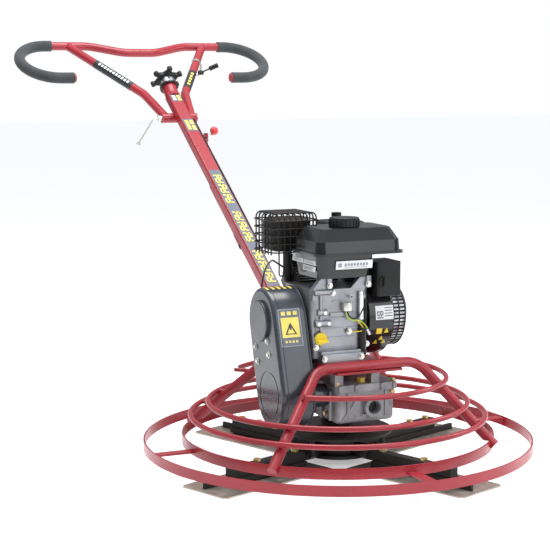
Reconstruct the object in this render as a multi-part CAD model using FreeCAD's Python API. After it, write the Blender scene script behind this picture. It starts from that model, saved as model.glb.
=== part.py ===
import FreeCAD, Part
import math
import os

V = FreeCAD.Vector
X_AXIS = V(1, 0, 0)
Z_AXIS = V(0, 0, 1)

# Driving dimensions, in millimetres. Origin: the rotor axis at the floor.
# +Z is up, the operator stands on the +Y side, the belt cover is on the -X side.

# guard frame
OUTER_BAND_R = 478.0
OUTER_BAND_Z = (36.0, 60.0)
LOWER_BAND_R = 383.5
LOWER_BAND_Z = (48.0, 73.0)
BAND_THICK = 4.0
GUARD_WIRE_R = 6.5
MIDDLE_RING = (362.0, 116.0)
UPPER_RING = (318.0, 147.0)
TOP_RING_R = 268.0
TOP_RING_CENTRE = V(6, 14, 203)
TOP_RING_END_ANGLE = 131.0
LEG_TUBE_R = 12.5
LEG_FOOT = (290.0, 262.0, 60.5)
ARCH_LEFT_X = -110.0
ARCH_RIGHT_X = 155.0
ARCH_Y = 120.0
ARCH_Z = 252.0
ARCH_BEND_R = 58.0

# gearbox
BOX_X = (-58.0, 100.0)
BOX_Y = (-115.0, 88.0)
BOX_Z = (112.0, 196.0)
BOX_WALL = 7.0
LID_TOP_Z = 206.0
LID_LIP = 5.0
PLATE_Z = (233.5, 239.4)
SOCKET_POS = (34.0, 150.0)
SOCKET_BORE_R = 15.0
SOCKET_OUTER_R = 22.5
WORM_Y = -56.0
WORM_Z = 175.0
WORM_OUTER_R = 14.0
WHEEL_OUTER_R = 41.5
POST_X = (-50.0, 47.0)
POST_Y = (-100.0, 68.0)
PLUG_XY = (20.0, -88.0)

# belt drive
CRANK_Y = 4.0
CRANK_Z = 356.0
COVER_X = (-202.0, -122.0)
COVER_TOP_R = 79.0
COVER_BOTTOM_R = 82.0
COVER_BOTTOM = (-45.0, 185.0)
COVER_BOLTS = [(-36.0, 313.0), (35.0, 288.0), (-44.0, 281.0), (23.0, 255.0)]
COVER_WALL = 2.5
DRIVE_PULLEY_R = 38.0
DRIVEN_PULLEY_R = 57.0
BELT_X = (-184.0, -173.0)

# rotor
ARM_COUNT = 4
ARM_FIRST_ANGLE = -158.7
ARM_R = (60.0, 366.0)
ARM_WIDTH = 25.0
ARM_Z = (18.0, 42.0)
HUB_R = 88.0
HUB_Z = (14.0, 56.0)
PIVOT_Z = 30.0
YOKE_Z = (88.6, 94.6)
YOKE_PIVOT = (70.0, 97.0)
JOURNAL_R = 14.1
BLADE_R = (93.0, 449.0)
BLADE_WIDTH = 152.0
BLADE_THICK = 3.0
BLADE_BOLT_R = (150.0, 277.0, 340.0)
RISER_WIDTH = 40.0
SHAFT_R = 15.0
RUN_GAP = 0.05

# engine
CRANKCASE_X = (-112.0, 38.0)
CRANKCASE_Y = (-92.0, 72.0)
CRANKCASE_Z = (272.0, 436.0)
FILLER = V(-96, -104, 323)
CYLINDER_X = -28.0
HEAD_HALF = 42.0
HEAD_FROM = 146.0
HEAD_THICK = 26.0
CYLINDER_TILT = 37.0
FAN_R = 98.0
FAN_X = (41.0, 112.0)
RECOIL_R = 78.0
RECOIL_X = (112.3, 162.0)
TANK_X = (-107.0, 129.0)
TANK_Y = (-112.0, 52.0)
TANK_SEAM_Z = 519.0
TANK_SHOULDER_Z = 549.0
TANK_FACET_Z = 578.0
TANK_TOP_Z = 580.0
TANK_BOTTOM_Z = 462.0
BOWL_X = (-101.0, 50.0)
TANK_CAP_XY = (-5.0, -46.0)
TANK_CAP_R = 36.0

# pole and handlebar
CENTRE_X = 10.0
POLE_ANGLE = 33.1
POLE_PASS = V(CENTRE_X, 471, 398.4)
POLE_WIDTH = 42.0
POLE_DEPTH = 30.0
POLE_TOP_Y = 1210.0
STAY_Y = (300.0, 842.0)
STAY_R = 12.5
STAY_DROP = 27.0
STAY_SLEEVE_Y = (612.0, 650.0)
NECK_ANGLE = 45.0
NECK_R = 22.0
NECK_LENGTH = 36.0
RING_R = 30.0
WHEEL_UP = 66.4
HINGE_YZ = (1149.0, 812.0)
HANDLE_SLOPE = 28.7
HANDLE_TUBE_R = 13.5
GRIP_R = 17.5
GRIP_CURL_R = 108.0
GRIP_CURL_X = 310.0
EYE_X = (30.6, 57.0)
ARM_CORNER = (69.0, -265.0)
ARM_TOP = (236.0, 60.0)
PITCH_WHEEL_R = 52.0
HANDLE_BAR_YZ = (1514.0, 1012.0)
HINGE_ALONG = -416.0
STOP_POS = V(58, 1036, 752)
THROTTLE_UP = 230.0
THROTTLE_DROP = 65.0
GRIP_ANGLE = 35.0
AIR_X = (14.0, 112.0)
AIR_Y = (57.0, 168.0)
AIR_Z = (498.0, 578.0)
AIR_BASE_Z = 474.0
AIR_KNOB_XY = (45.0, 100.0)
MUFFLER_X = (-134.0, -32.0)
MUFFLER_Y = (76.0, 166.0)
MUFFLER_Z = (510.0, 588.0)
CAGE_X = (-146.0, -20.0)
CAGE_Y = (58.0, 186.0)
CAGE_Z = (503.0, 602.0)
CONTROL_X = (52.0, 116.0)
CONTROL_Y = (-112.0, -28.0)
CONTROL_Z = (414.0, 496.0)
CONTROL_STEP = (-76.0, 455.5)
SWITCH_XZ = (66.0, 450.0)

# throttle cable
CABLE_R = 2.5
CABLE_POINTS = [
    V(35, 1085, 811),
    V(35, 640, 520),
    V(35, 470, 398),
    V(35, 438, 330),
    V(12, 428, 316),
    V(-22, 418, 330),
    V(-32, 400, 385),
    V(-40, 352, 438),
    V(-62, 262, 466),
    V(-84, 200, 474),
    V(-81, 148, 464),
]


def unit(angle):
    """Direction in the Y-Z plane, angle in degrees above the floor."""
    return V(0, math.cos(math.radians(angle)), math.sin(math.radians(angle)))


def box(x, y, z):
    return Part.makeBox(x[1] - x[0], y[1] - y[0], z[1] - z[0], V(x[0], y[0], z[0]))


def rod(radius, start, end):
    return Part.makeCylinder(radius, (end - start).Length, start, end - start)


def x_rod(radius, x, y, z):
    return Part.makeCylinder(radius, x[1] - x[0], V(x[0], y, z), X_AXIS)


def z_rod(radius, z, x=0.0, y=0.0):
    return Part.makeCylinder(radius, z[1] - z[0], V(x, y, z[0]), Z_AXIS)


def x_ring(outer, inner, x, y, z):
    return x_rod(outer, x, y, z).cut(x_rod(inner, (x[0] - 1, x[1] + 1), y, z))


def z_ring(outer, inner, z, x=0.0, y=0.0):
    return z_rod(outer, z, x, y).cut(z_rod(inner, (z[0] - 1, z[1] + 1), x, y))


def hexagon(flats, height, centre, axis):
    """Hexagonal head: distance over its flats, height along axis."""
    corner_r = flats / math.sqrt(3)
    points = []
    for step in range(7):
        turn = math.radians(60 * step)
        points.append(V(corner_r * math.cos(turn), corner_r * math.sin(turn), 0))
    solid = Part.Face(Part.makePolygon(points)).extrude(V(0, 0, height))
    placement = FreeCAD.Placement(centre, FreeCAD.Rotation(Z_AXIS, axis))
    return moved(solid, placement)


def moved(shape, placement):
    copy = shape.copy()
    copy.Placement = placement.multiply(copy.Placement)
    return copy


def turned_z(shape, angle):
    return moved(shape, FreeCAD.Placement(V(), FreeCAD.Rotation(Z_AXIS, angle)))


def fuse(shapes):
    first = shapes[0]
    return first.multiFuse(shapes[1:]).removeSplitter() if len(shapes) > 1 else first


def cut_all(shape, tools):
    for tool in tools:
        shape = shape.cut(tool)
    return shape


def rounded_box(x, y, z, radius):
    """Box whose four upright edges are rounded."""
    body = box(x, y, z)
    upright = [e for e in body.Edges if abs(e.tangentAt(e.FirstParameter).z) > 0.99]
    return body.makeFillet(radius, upright)


def round_corners(points, radii):
    """Straight runs joined by tangent arcs, as one wire; also gives the arc radii."""
    edges = []
    start = points[0]
    for index in range(1, len(points) - 1):
        corner = points[index]
        back = (points[index - 1] - corner).normalize()
        ahead = (points[index + 1] - corner).normalize()
        half = back.getAngle(ahead) / 2
        radius = radii[index - 1]
        reach = radius / math.tan(half)
        entry = corner + back * reach
        leave = corner + ahead * reach
        middle_line = (back + ahead).normalize()
        middle = corner + middle_line * (radius / math.sin(half) - radius)
        if (entry - start).Length > 1e-6:
            edges.append(Part.LineSegment(start, entry).toShape())
        edges.append(Part.Arc(entry, middle, leave).toShape())
        start = leave
    edges.append(Part.LineSegment(start, points[-1]).toShape())
    return Part.Wire(edges)


def bent_tube(points, radii, tube_r):
    """Round bar along straight runs and tangent arcs."""
    path = round_corners(points, radii)
    direction = points[1] - points[0]
    profile = Part.Wire(Part.makeCircle(tube_r, points[0], direction))
    return Part.Solid(path.makePipeShell([profile], True, True))


def stadium(x, radius_top, radius_bottom, top, bottom):
    """Belt-drive outline: two circles joined by their outer tangents, extruded along X."""
    dy = bottom[0] - top[0]
    dz = bottom[1] - top[1]
    length = math.hypot(dy, dz)
    along = (dy / length, dz / length)
    lean = math.asin((radius_bottom - radius_top) / length)
    corners = []
    for side in (1, -1):
        normal = (-along[1] * side, along[0] * side)
        tangent = (
            normal[0] * math.cos(lean) - along[0] * math.sin(lean),
            normal[1] * math.cos(lean) - along[1] * math.sin(lean),
        )
        corners.append((
            V(x[0], top[0] + tangent[0] * radius_top, top[1] + tangent[1] * radius_top),
            V(x[0], bottom[0] + tangent[0] * radius_bottom, bottom[1] + tangent[1] * radius_bottom),
        ))
    (top_a, bottom_a), (top_b, bottom_b) = corners
    crown = V(x[0], top[0] - along[0] * radius_top, top[1] - along[1] * radius_top)
    keel = V(x[0], bottom[0] + along[0] * radius_bottom, bottom[1] + along[1] * radius_bottom)
    wire = Part.Wire([
        Part.Arc(top_a, crown, top_b).toShape(),
        Part.LineSegment(top_b, bottom_b).toShape(),
        Part.Arc(bottom_b, keel, bottom_a).toShape(),
        Part.LineSegment(bottom_a, top_a).toShape(),
    ])
    return Part.Face(wire).extrude(V(x[1] - x[0], 0, 0))


# ---- guard frame -------------------------------------------------------------

def leg_arch(side):
    """One tube: up a leg, across under the engine, down the other leg. side is -1 or 1 in Y."""
    foot_x, foot_y, foot_z = LEG_FOOT
    points = [
        V(-foot_x, side * foot_y, foot_z),
        V(ARCH_LEFT_X, side * ARCH_Y, ARCH_Z),
        V(ARCH_RIGHT_X, side * ARCH_Y, ARCH_Z),
        V(foot_x, side * foot_y, foot_z),
    ]
    return bent_tube(points, [ARCH_BEND_R, ARCH_BEND_R], LEG_TUBE_R)


def leg_point(x_sign, side, z):
    """Centre of a leg at height z."""
    foot_x, foot_y, foot_z = LEG_FOOT
    top_x = ARCH_RIGHT_X if x_sign > 0 else ARCH_LEFT_X
    share = (ARCH_Z - z) / (ARCH_Z - foot_z)
    return V(top_x + (x_sign * foot_x - top_x) * share, side * (ARCH_Y + (foot_y - ARCH_Y) * share), z)


def ring_stub(x_sign, side, ring_r, z, centre=V(0, 0, 0)):
    """Short rod from a leg out to a guard ring."""
    start = leg_point(x_sign, side, z)
    out = V(start.x - centre.x, start.y - centre.y, 0).normalize()
    end = V(centre.x, centre.y, z) + out * ring_r
    return rod(5.0, start, end)


def band(radius, z):
    return z_ring(radius, radius - BAND_THICK, z)


def guard_brackets():
    """Four straps, each welded between the lower band and the outer band."""
    straps = []
    for index in range(4):
        flat = box((LOWER_BAND_R, OUTER_BAND_R - BAND_THICK), (-14, 14), (54.0, 58.0))
        lug = box((OUTER_BAND_R - BAND_THICK - 5, OUTER_BAND_R - BAND_THICK), (-14, 14), (38.0, 54.0))
        strap = flat.fuse(lug)
        outside = z_ring(OUTER_BAND_R + 40, OUTER_BAND_R - BAND_THICK, (0, 100))
        inside = z_rod(LOWER_BAND_R, (0, 100))
        straps.append(turned_z(strap.cut(outside).cut(inside), 90 * index))
    return straps


def top_guard_ring():
    circle = Part.makeCircle(
        TOP_RING_R, TOP_RING_CENTRE, Z_AXIS, -TOP_RING_END_ANGLE, TOP_RING_END_ANGLE)
    start = circle.valueAt(circle.FirstParameter)
    profile = Part.Wire(Part.makeCircle(GUARD_WIRE_R, start, circle.tangentAt(circle.FirstParameter)))
    return Part.Solid(Part.Wire(circle).makePipeShell([profile], True, True))


def guard_frame():
    shapes = {}
    outer = band(OUTER_BAND_R, OUTER_BAND_Z)
    lower = band(LOWER_BAND_R, LOWER_BAND_Z)
    middle = Part.makeTorus(MIDDLE_RING[0], GUARD_WIRE_R, V(0, 0, MIDDLE_RING[1]))
    upper = Part.makeTorus(UPPER_RING[0], GUARD_WIRE_R, V(0, 0, UPPER_RING[1]))
    top = top_guard_ring()
    for side, name in ((-1, "front_leg_arch"), (1, "rear_leg_arch")):
        arch = leg_arch(side)
        stubs = []
        for x_sign in (-1, 1):
            stubs.append(ring_stub(x_sign, side, MIDDLE_RING[0], MIDDLE_RING[1]))
            stubs.append(ring_stub(x_sign, side, UPPER_RING[0], UPPER_RING[1]))
            stubs.append(ring_stub(x_sign, side, TOP_RING_R, TOP_RING_CENTRE.z, TOP_RING_CENTRE))
        arch = fuse([arch] + stubs)
        shapes[name] = cut_all(arch, [middle, upper, top, lower, z_rod(LOWER_BAND_R, LOWER_BAND_Z)])
    shapes["outer_guard_band"] = outer
    shapes["lower_guard_band"] = lower
    shapes["guard_brackets"] = guard_brackets()
    shapes["middle_guard_ring"] = middle
    shapes["upper_guard_ring"] = upper
    shapes["top_guard_ring"] = top
    return shapes


def engine_plate():
    """Plate under the arches, with two rails between them that carry the engine feet."""
    plate = box((-62, 112), (-128, 128), PLATE_Z)
    rails = [
        box((-100, 14), (-107, -78), (PLATE_Z[1], 262.0)),
        box((-100, 14), (56, 85), (PLATE_Z[1], 262.0)),
        box((-100, -62), (-107, 85), PLATE_Z),
    ]
    return fuse([plate] + rails)


# ---- gearbox -----------------------------------------------------------------

def gearbox_housing():
    """Cast box, open at the top, with a round socket on its front face."""
    outer = rounded_box(BOX_X, BOX_Y, BOX_Z, 18.0)
    bottom = [e for e in outer.Edges if abs(e.BoundBox.ZMin - BOX_Z[0]) < 0.01 and e.BoundBox.ZLength < 0.01]
    outer = outer.makeFillet(10.0, bottom)
    socket = rod(SOCKET_OUTER_R, V(SOCKET_POS[0], -130, SOCKET_POS[1]), V(SOCKET_POS[0], -106, SOCKET_POS[1]))
    skirt = z_rod(34.0, (104.0, 116.0))
    ribs = [
        box((-30, -25), (-121, -112), (124, 190)),
        box((8, 60), (-122, -112), (128, 134)),
    ]
    flange = rounded_box(
        (BOX_X[0] - LID_LIP, BOX_X[1] + LID_LIP), (BOX_Y[0] - LID_LIP, BOX_Y[1]), (189.0, BOX_Z[1]), 18.0)
    pivot_y = YOKE_PIVOT[0]
    ears = [box(x, (pivot_y - 10, pivot_y + 10), (90.0, BOX_Z[0] + 12)) for x in ((-15.0, -9.4), (9.4, 15.0))]
    body = fuse([outer, socket, skirt, flange] + ribs + ears)
    hollow = box(
        (BOX_X[0] + BOX_WALL, BOX_X[1] - BOX_WALL),
        (BOX_Y[0] + BOX_WALL + 4, BOX_Y[1] - BOX_WALL),
        (BOX_Z[0] + BOX_WALL, BOX_Z[1] + 1),
    )
    bore = rod(SOCKET_BORE_R, V(SOCKET_POS[0], -131, SOCKET_POS[1]), V(SOCKET_POS[0], -110, SOCKET_POS[1]))
    worm_hole = x_rod(17.0, (BOX_X[0] - 10, BOX_X[0] + 20), WORM_Y, WORM_Z)
    far_pocket = x_rod(17.0, (BOX_X[1] - BOX_WALL - 1, BOX_X[1] - 2), WORM_Y, WORM_Z)
    shaft_hole = z_rod(26.0, (100, 130))
    yoke_hole = x_rod(4.0 + RUN_GAP, (-20, 20), *YOKE_PIVOT)
    return cut_all(body, [hollow, bore, worm_hole, far_pocket, shaft_hole, yoke_hole])


def gearbox_cover():
    """Cast lid with four posts that carry the engine plate."""
    lid = rounded_box(
        (BOX_X[0] - LID_LIP, BOX_X[1] + LID_LIP),
        (BOX_Y[0] - LID_LIP, BOX_Y[1]),
        (BOX_Z[1], LID_TOP_Z),
        18.0,
    )
    posts = [
        box((x - 11, x + 11), (y - 12, y + 12), (LID_TOP_Z, PLATE_Z[0]))
        for x in POST_X
        for y in POST_Y
    ]
    pocket = z_rod(SHAFT_R + 6.0, (BOX_Z[1] - 1, BOX_Z[1] + 5.0))
    plug_hole = z_rod(7.0, (BOX_Z[1] - 1, LID_TOP_Z + 1), *PLUG_XY)
    return cut_all(fuse([lid] + posts), [pocket, plug_hole])


def oil_plug():
    head = hexagon(19.0, 11.0, V(PLUG_XY[0], PLUG_XY[1], LID_TOP_Z), Z_AXIS)
    return head.fuse(z_rod(7.0, (BOX_Z[1] + 1, LID_TOP_Z), *PLUG_XY))


def shaft_bearings():
    """Plain bearing rings: two on the worm shaft and two on the output shaft."""
    inner = SHAFT_R + RUN_GAP
    return [
        x_ring(17.0, 10.0 + RUN_GAP, (BOX_X[0], BOX_X[0] + BOX_WALL), WORM_Y, WORM_Z),
        x_ring(17.0, 10.0 + RUN_GAP, (BOX_X[1] - BOX_WALL, BOX_X[1] - 2), WORM_Y, WORM_Z),
        z_ring(26.0, inner, (104.0, 119.0)),
        z_ring(SHAFT_R + 6.0, inner, (BOX_Z[1], BOX_Z[1] + 5.0)),
    ]


# ---- belt drive --------------------------------------------------------------

def belt_cover():
    top = (CRANK_Y, CRANK_Z)
    outer = stadium(COVER_X, COVER_TOP_R, COVER_BOTTOM_R, top, COVER_BOTTOM)
    rim = [e for e in outer.Edges if abs(e.BoundBox.XMax - COVER_X[0]) < 0.01]
    outer = outer.makeFillet(9.0, rim)
    inner = stadium(
        (COVER_X[0] + COVER_WALL, COVER_X[1] + 1),
        COVER_TOP_R - COVER_WALL,
        COVER_BOTTOM_R - COVER_WALL,
        top,
        COVER_BOTTOM,
    )
    inner_rim = [e for e in inner.Edges if abs(e.BoundBox.XMax - (COVER_X[0] + COVER_WALL)) < 0.01]
    inner = inner.makeFillet(8.0, inner_rim)
    cap = x_rod(50.0, (COVER_X[0] - 8, COVER_X[0] + 1), *top)
    cap = cap.makeFillet(3.0, [e for e in cap.Edges if abs(e.BoundBox.XMax - (COVER_X[0] - 8)) < 0.01])
    groove = x_ring(57.0, 53.0, (COVER_X[0] - 1, COVER_X[0] + 1.2), *COVER_BOTTOM)
    shell = outer.fuse(cap).cut(inner).cut(groove)
    holes = [x_rod(3.3, (COVER_X[0] - 2, COVER_X[0] + 6), y, z) for y, z in COVER_BOLTS]
    return cut_all(shell, holes)


def cover_bolts():
    """Four identical screws on the cover's face, each with its washer."""
    bolts = []
    for y, z in COVER_BOLTS:
        head = hexagon(10.0, 5.0, V(COVER_X[0], y, z), V(-1, 0, 0))
        washer = x_rod(8.0, (COVER_X[0] - 1.2, COVER_X[0]), y, z)
        shank = x_rod(3.3, (COVER_X[0], COVER_X[0] + 8), y, z)
        bolts.append(fuse([head, washer, shank]))
    return bolts


def belt_back_plate():
    """Plate that closes the cover, bolted between the engine and the gearbox."""
    span = (COVER_X[1], COVER_X[1] + 4)
    plate = stadium(span, COVER_TOP_R, COVER_BOTTOM_R, (CRANK_Y, CRANK_Z), COVER_BOTTOM)
    foot = box((COVER_X[1] + 4, -100), (-90, 70), (242.0, 262.0))
    collar = x_rod(30.0, (COVER_X[1] + 4, CRANKCASE_X[0]), CRANK_Y, CRANK_Z)
    lower = x_rod(28.0, (COVER_X[1] + 4, BOX_X[0] - LID_LIP), WORM_Y, WORM_Z)
    body = fuse([plate, foot, collar, lower])
    holes = [
        x_rod(11.0, (COVER_X[1] - 1, CRANKCASE_X[0] + 1), CRANK_Y, CRANK_Z),
        x_rod(17.0, (COVER_X[1] - 1, BOX_X[0] + 1), WORM_Y, WORM_Z),
    ]
    return cut_all(body, holes)


def pulley(radius, hub_r, bore_r, y, z, x):
    """V-belt pulley: two flanges with a belt groove between them."""
    groove_depth = 9.0
    body = fuse([
        x_rod(radius + 5, (x[0] - 4.5, x[0] - 0.5), y, z),
        x_rod(radius - groove_depth, (x[0] - 0.5, x[1] + 0.5), y, z),
        x_rod(radius + 5, (x[1] + 0.5, x[1] + 4.5), y, z),
        x_rod(hub_r, (x[1] + 4.5, x[1] + 20), y, z),
    ])
    return body.cut(x_rod(bore_r, (x[0] - 10, x[1] + 30), y, z))


def drive_belt():
    top = (CRANK_Y, CRANK_Z)
    bottom = (WORM_Y, WORM_Z)
    outside = stadium(BELT_X, DRIVE_PULLEY_R, DRIVEN_PULLEY_R, top, bottom)
    inside = stadium((BELT_X[0] - 1, BELT_X[1] + 1), DRIVE_PULLEY_R - 8.5, DRIVEN_PULLEY_R - 8.5, top, bottom)
    return outside.cut(inside)


def clutch_pulley():
    body = pulley(DRIVE_PULLEY_R, 32.0, 10.0 + RUN_GAP, CRANK_Y, CRANK_Z, BELT_X)
    drum = x_ring(46.0, 42.0, (BELT_X[1] + 20, BELT_X[1] + 44), CRANK_Y, CRANK_Z)
    web = x_ring(46.0, 10.0 + RUN_GAP, (BELT_X[1] + 17, BELT_X[1] + 20), CRANK_Y, CRANK_Z)
    return fuse([body, drum, web])


def crank_shaft():
    """Crankshaft with one throw, and the clutch shoes' carrier at its output end."""
    reach = (BELT_X[0] - 10, FAN_X[1] + 16)
    main = x_rod(10.0, (reach[0], -60.0), CRANK_Y, CRANK_Z)
    tail = x_rod(10.0, (0.0, reach[1]), CRANK_Y, CRANK_Z)
    cheeks = []
    for x in ((-60.0, -46.0), (-14.0, 0.0)):
        cheek = fuse([
            x_rod(32.0, x, CRANK_Y, CRANK_Z - 8),
            x_rod(18.0, x, CRANK_Y, CRANK_Z + 22),
        ])
        cheeks.append(cheek)
    pin = x_rod(13.0, (-46.0, -14.0), CRANK_Y, CRANK_Z + 22)
    shoes = x_rod(38.0, (BELT_X[1] + 22, BELT_X[1] + 42), CRANK_Y, CRANK_Z)
    return fuse([main, tail, pin, shoes] + cheeks)


def flywheel():
    disc = x_ring(80.0, 10.0, (FAN_X[0] + 9, FAN_X[0] + 21), CRANK_Y, CRANK_Z)
    vanes = []
    for index in range(16):
        vane = box((FAN_X[0] + 21, FAN_X[0] + 37), (58.0, 78.0), (-1.5, 1.5))
        place = FreeCAD.Placement(V(0, CRANK_Y, CRANK_Z), FreeCAD.Rotation(X_AXIS, 22.5 * index))
        vanes.append(moved(vane, place))
    return fuse([disc] + vanes)


def worm_shaft():
    """Worm on its shaft; the thread is drawn as parallel ridges."""
    shaft = x_rod(10.0, (BELT_X[0] - 10, BOX_X[1] - 2.5), WORM_Y, WORM_Z)
    ridges = []
    for index in range(9):
        x = -32 + 8 * index
        ridges.append(x_rod(WORM_OUTER_R, (x, x + 4), WORM_Y, WORM_Z))
    return fuse([shaft] + ridges)


def driven_pulley():
    return pulley(DRIVEN_PULLEY_R, 22.0, 10.0, WORM_Y, WORM_Z, BELT_X)


# ---- rotor -------------------------------------------------------------------

def output_shaft():
    return z_rod(SHAFT_R, (HUB_Z[0] + 4, BOX_Z[1] + 4))


def worm_wheel():
    """Bronze wheel with shallow teeth round its rim."""
    body = z_ring(WHEEL_OUTER_R - 3, SHAFT_R, (WORM_Z - 11, WORM_Z + 11))
    teeth = []
    for index in range(24):
        tooth = box((WHEEL_OUTER_R - 5, WHEEL_OUTER_R), (-2.5, 2.5), (WORM_Z - 11, WORM_Z + 11))
        teeth.append(turned_z(tooth, 15 * index))
    return fuse([body] + teeth)


def arm_placement(index):
    return ARM_FIRST_ANGLE + 360.0 / ARM_COUNT * index


def spider_hub():
    """Black hub that drives the arms: a disc with four square sockets and four sleeves."""
    core = z_rod(HUB_R - 22, HUB_Z)
    flange = z_rod(HUB_R, (HUB_Z[0] + 2, HUB_Z[0] + 10))
    sleeves = []
    holes = []
    for index in range(ARM_COUNT):
        angle = arm_placement(index)
        sleeve = rod(19.0, V(40, 0, PIVOT_Z + 3), V(112, 0, PIVOT_Z + 3))
        sleeves.append(turned_z(sleeve, angle))
        hole = rod(JOURNAL_R + RUN_GAP, V(38, 0, PIVOT_Z), V(120, 0, PIVOT_Z))
        holes.append(turned_z(hole, angle))
    body = fuse([core, flange] + sleeves)
    return cut_all(body, holes + [z_rod(SHAFT_R, (HUB_Z[0] + 4, HUB_Z[1] + 1))])


def arm(index):
    """Trowel arm: round journal in the hub, square bar outside it and a pitch finger."""
    journal = rod(JOURNAL_R, V(40, 0, PIVOT_Z), V(112.5, 0, PIVOT_Z))
    bar = box((112.5, ARM_R[1]), (-ARM_WIDTH / 2, ARM_WIDTH / 2), ARM_Z)
    riser_bar = box((128, 430), (-RISER_WIDTH / 2, -RISER_WIDTH / 2 + 8), (BLADE_THICK, ARM_Z[0]))
    riser_web = box((128, ARM_R[1]), (-RISER_WIDTH / 2, RISER_WIDTH / 2), (BLADE_THICK + 4, ARM_Z[0]))
    finger = box((114, 126), (0, 34), (PIVOT_Z + 2, PIVOT_Z + 12))
    post = rod(6.0, V(120, 30, PIVOT_Z + 8), V(120, 30, 70.0))
    body = fuse([journal, bar, riser_bar, riser_web, finger, post])
    holes = [z_rod(5.0, (-1, 60), r) for r in BLADE_BOLT_R]
    return turned_z(cut_all(body, holes), arm_placement(index))


def blade(index):
    """Finishing blade with its corners clipped, and the three bolts that hold it."""
    half = BLADE_WIDTH / 2
    clip = 9.0
    points = [
        V(BLADE_R[0] + clip, -half, 0), V(BLADE_R[1] - clip, -half, 0), V(BLADE_R[1], -half + clip, 0),
        V(BLADE_R[1], half - clip, 0), V(BLADE_R[1] - clip, half, 0), V(BLADE_R[0] + clip, half, 0),
        V(BLADE_R[0], half - clip, 0), V(BLADE_R[0], -half + clip, 0),
    ]
    plate = Part.Face(Part.makePolygon(points + [points[0]])).extrude(V(0, 0, BLADE_THICK))
    solids = []
    for r in BLADE_BOLT_R:
        plate = plate.cut(z_rod(5.0, (-1, BLADE_THICK + 1), r))
        head = hexagon(16.0, 7.0, V(r, 0, ARM_Z[1]), Z_AXIS)
        solids.append(head.fuse(z_rod(5.0, (0.5, ARM_Z[1]), r)))
    return [turned_z(solid, arm_placement(index)) for solid in [plate] + solids]


def pressure_plate():
    """Ring that presses the four pitch fingers down."""
    disc = z_ring(134.0, SHAFT_R + 3, (70.5, 76.5))
    collar = z_ring(SHAFT_R + 14, SHAFT_R + 3, (76.5, 88.0))
    return disc.fuse(collar)


def pitch_yoke():
    """Ring round the pressure plate's collar, with two pads on it and a pivot at the back."""
    ring = z_ring(40.0, 31.0, YOKE_Z)
    pads = [box((22, 33), (-5, 5), YOKE_Z), box((-33, -22), (-5, 5), YOKE_Z)]
    bar = box((-9, 9), (36, YOKE_PIVOT[0]), YOKE_Z)
    eye = x_rod(7.0, (-9, 9), *YOKE_PIVOT)
    pin = x_rod(4.0, (-15, 15), *YOKE_PIVOT)
    return fuse([ring, bar, eye, pin] + pads)


# ---- engine ------------------------------------------------------------------

def crankcase():
    """Die-cast case on two foot bars, with two raised arms that carry the tank."""
    case = rounded_box(CRANKCASE_X, CRANKCASE_Y, CRANKCASE_Z, 16.0)
    feet = [
        box((-95, 8), (-110, -78), (262.0, 290.0)),
        box((-95, 8), (56, 84), (262.0, 290.0)),
    ]
    arms = [
        bracket_arm(-110.0, -68.0, 410.0),
        bracket_arm(-18.0, 36.0, 402.0),
    ]
    inward = filler_inward()
    filler = rod(10.0, FILLER + inward * 26, FILLER)
    body = fuse([case] + feet + arms + [filler])
    cavity = box(
        (CRANKCASE_X[0] + 8, CRANKCASE_X[1] - 8),
        (CRANKCASE_Y[0] + 8, CRANKCASE_Y[1] - 8),
        (CRANKCASE_Z[0] + 12, CRANKCASE_Z[1] - 8),
    )
    shaft_hole = x_rod(10.0 + RUN_GAP, (CRANKCASE_X[0] - 1, CRANKCASE_X[1] + 1), CRANK_Y, CRANK_Z)
    stick_hole = rod(6.0, FILLER + inward * 36, FILLER - inward * 2)
    return cut_all(body, [cavity, shaft_hole, stick_hole])


def filler_inward():
    """Direction from the filler's mouth into the case."""
    return V(0, 24, 8).normalize()


def bracket_arm(x_low, x_high, z_low):
    """Slanted cast arm from the case up to the fuel tank."""
    outline = [
        V(x_low, CRANKCASE_Y[0], z_low),
        V(x_low + 18, CRANKCASE_Y[0], z_low),
        V(x_high, CRANKCASE_Y[0], TANK_BOTTOM_Z - 20),
        V(x_high, CRANKCASE_Y[0], TANK_BOTTOM_Z),
        V(x_high - 20, CRANKCASE_Y[0], TANK_BOTTOM_Z),
        V(x_low, CRANKCASE_Y[0], z_low + 26),
    ]
    return Part.Face(Part.makePolygon(outline + [outline[0]])).extrude(V(0, 16, 0))


def cylinder_place():
    """The cylinder's own frame: its Z runs from the crank towards the head."""
    lean = FreeCAD.Rotation(X_AXIS, CYLINDER_TILT - 90)
    return FreeCAD.Placement(V(CYLINDER_X, CRANK_Y, CRANK_Z), lean)


def cylinder_block():
    """Finned cylinder and head leaning back from the crankcase, and the cover over its rockers."""
    core = Part.makeCylinder(38, HEAD_FROM - 60, V(0, 0, 66))
    width = 2 * HEAD_HALF + 4
    fins = [Part.makeBox(104, width, 3.2, V(-52, -width / 2, 74 + 9 * index)) for index in range(8)]
    head = Part.makeBox(100, 2 * HEAD_HALF, HEAD_THICK, V(-50, -HEAD_HALF, HEAD_FROM))
    body = fuse([core, head] + fins)
    bore = Part.makeCylinder(32, 80, V(0, 0, 60))
    case = box(CRANKCASE_X, CRANKCASE_Y, CRANKCASE_Z)
    block = moved(body.cut(bore), cylinder_place()).cut(case)
    block = max(block.Solids, key=lambda solid: solid.Volume)
    rocker = Part.makeBox(84, 66, 22, V(-42, -33, HEAD_FROM + HEAD_THICK))
    far = [e for e in rocker.Edges if e.BoundBox.ZMin > HEAD_FROM + HEAD_THICK + 21.9]
    return [block, moved(rocker.makeFillet(6.0, far), cylinder_place())]


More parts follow.
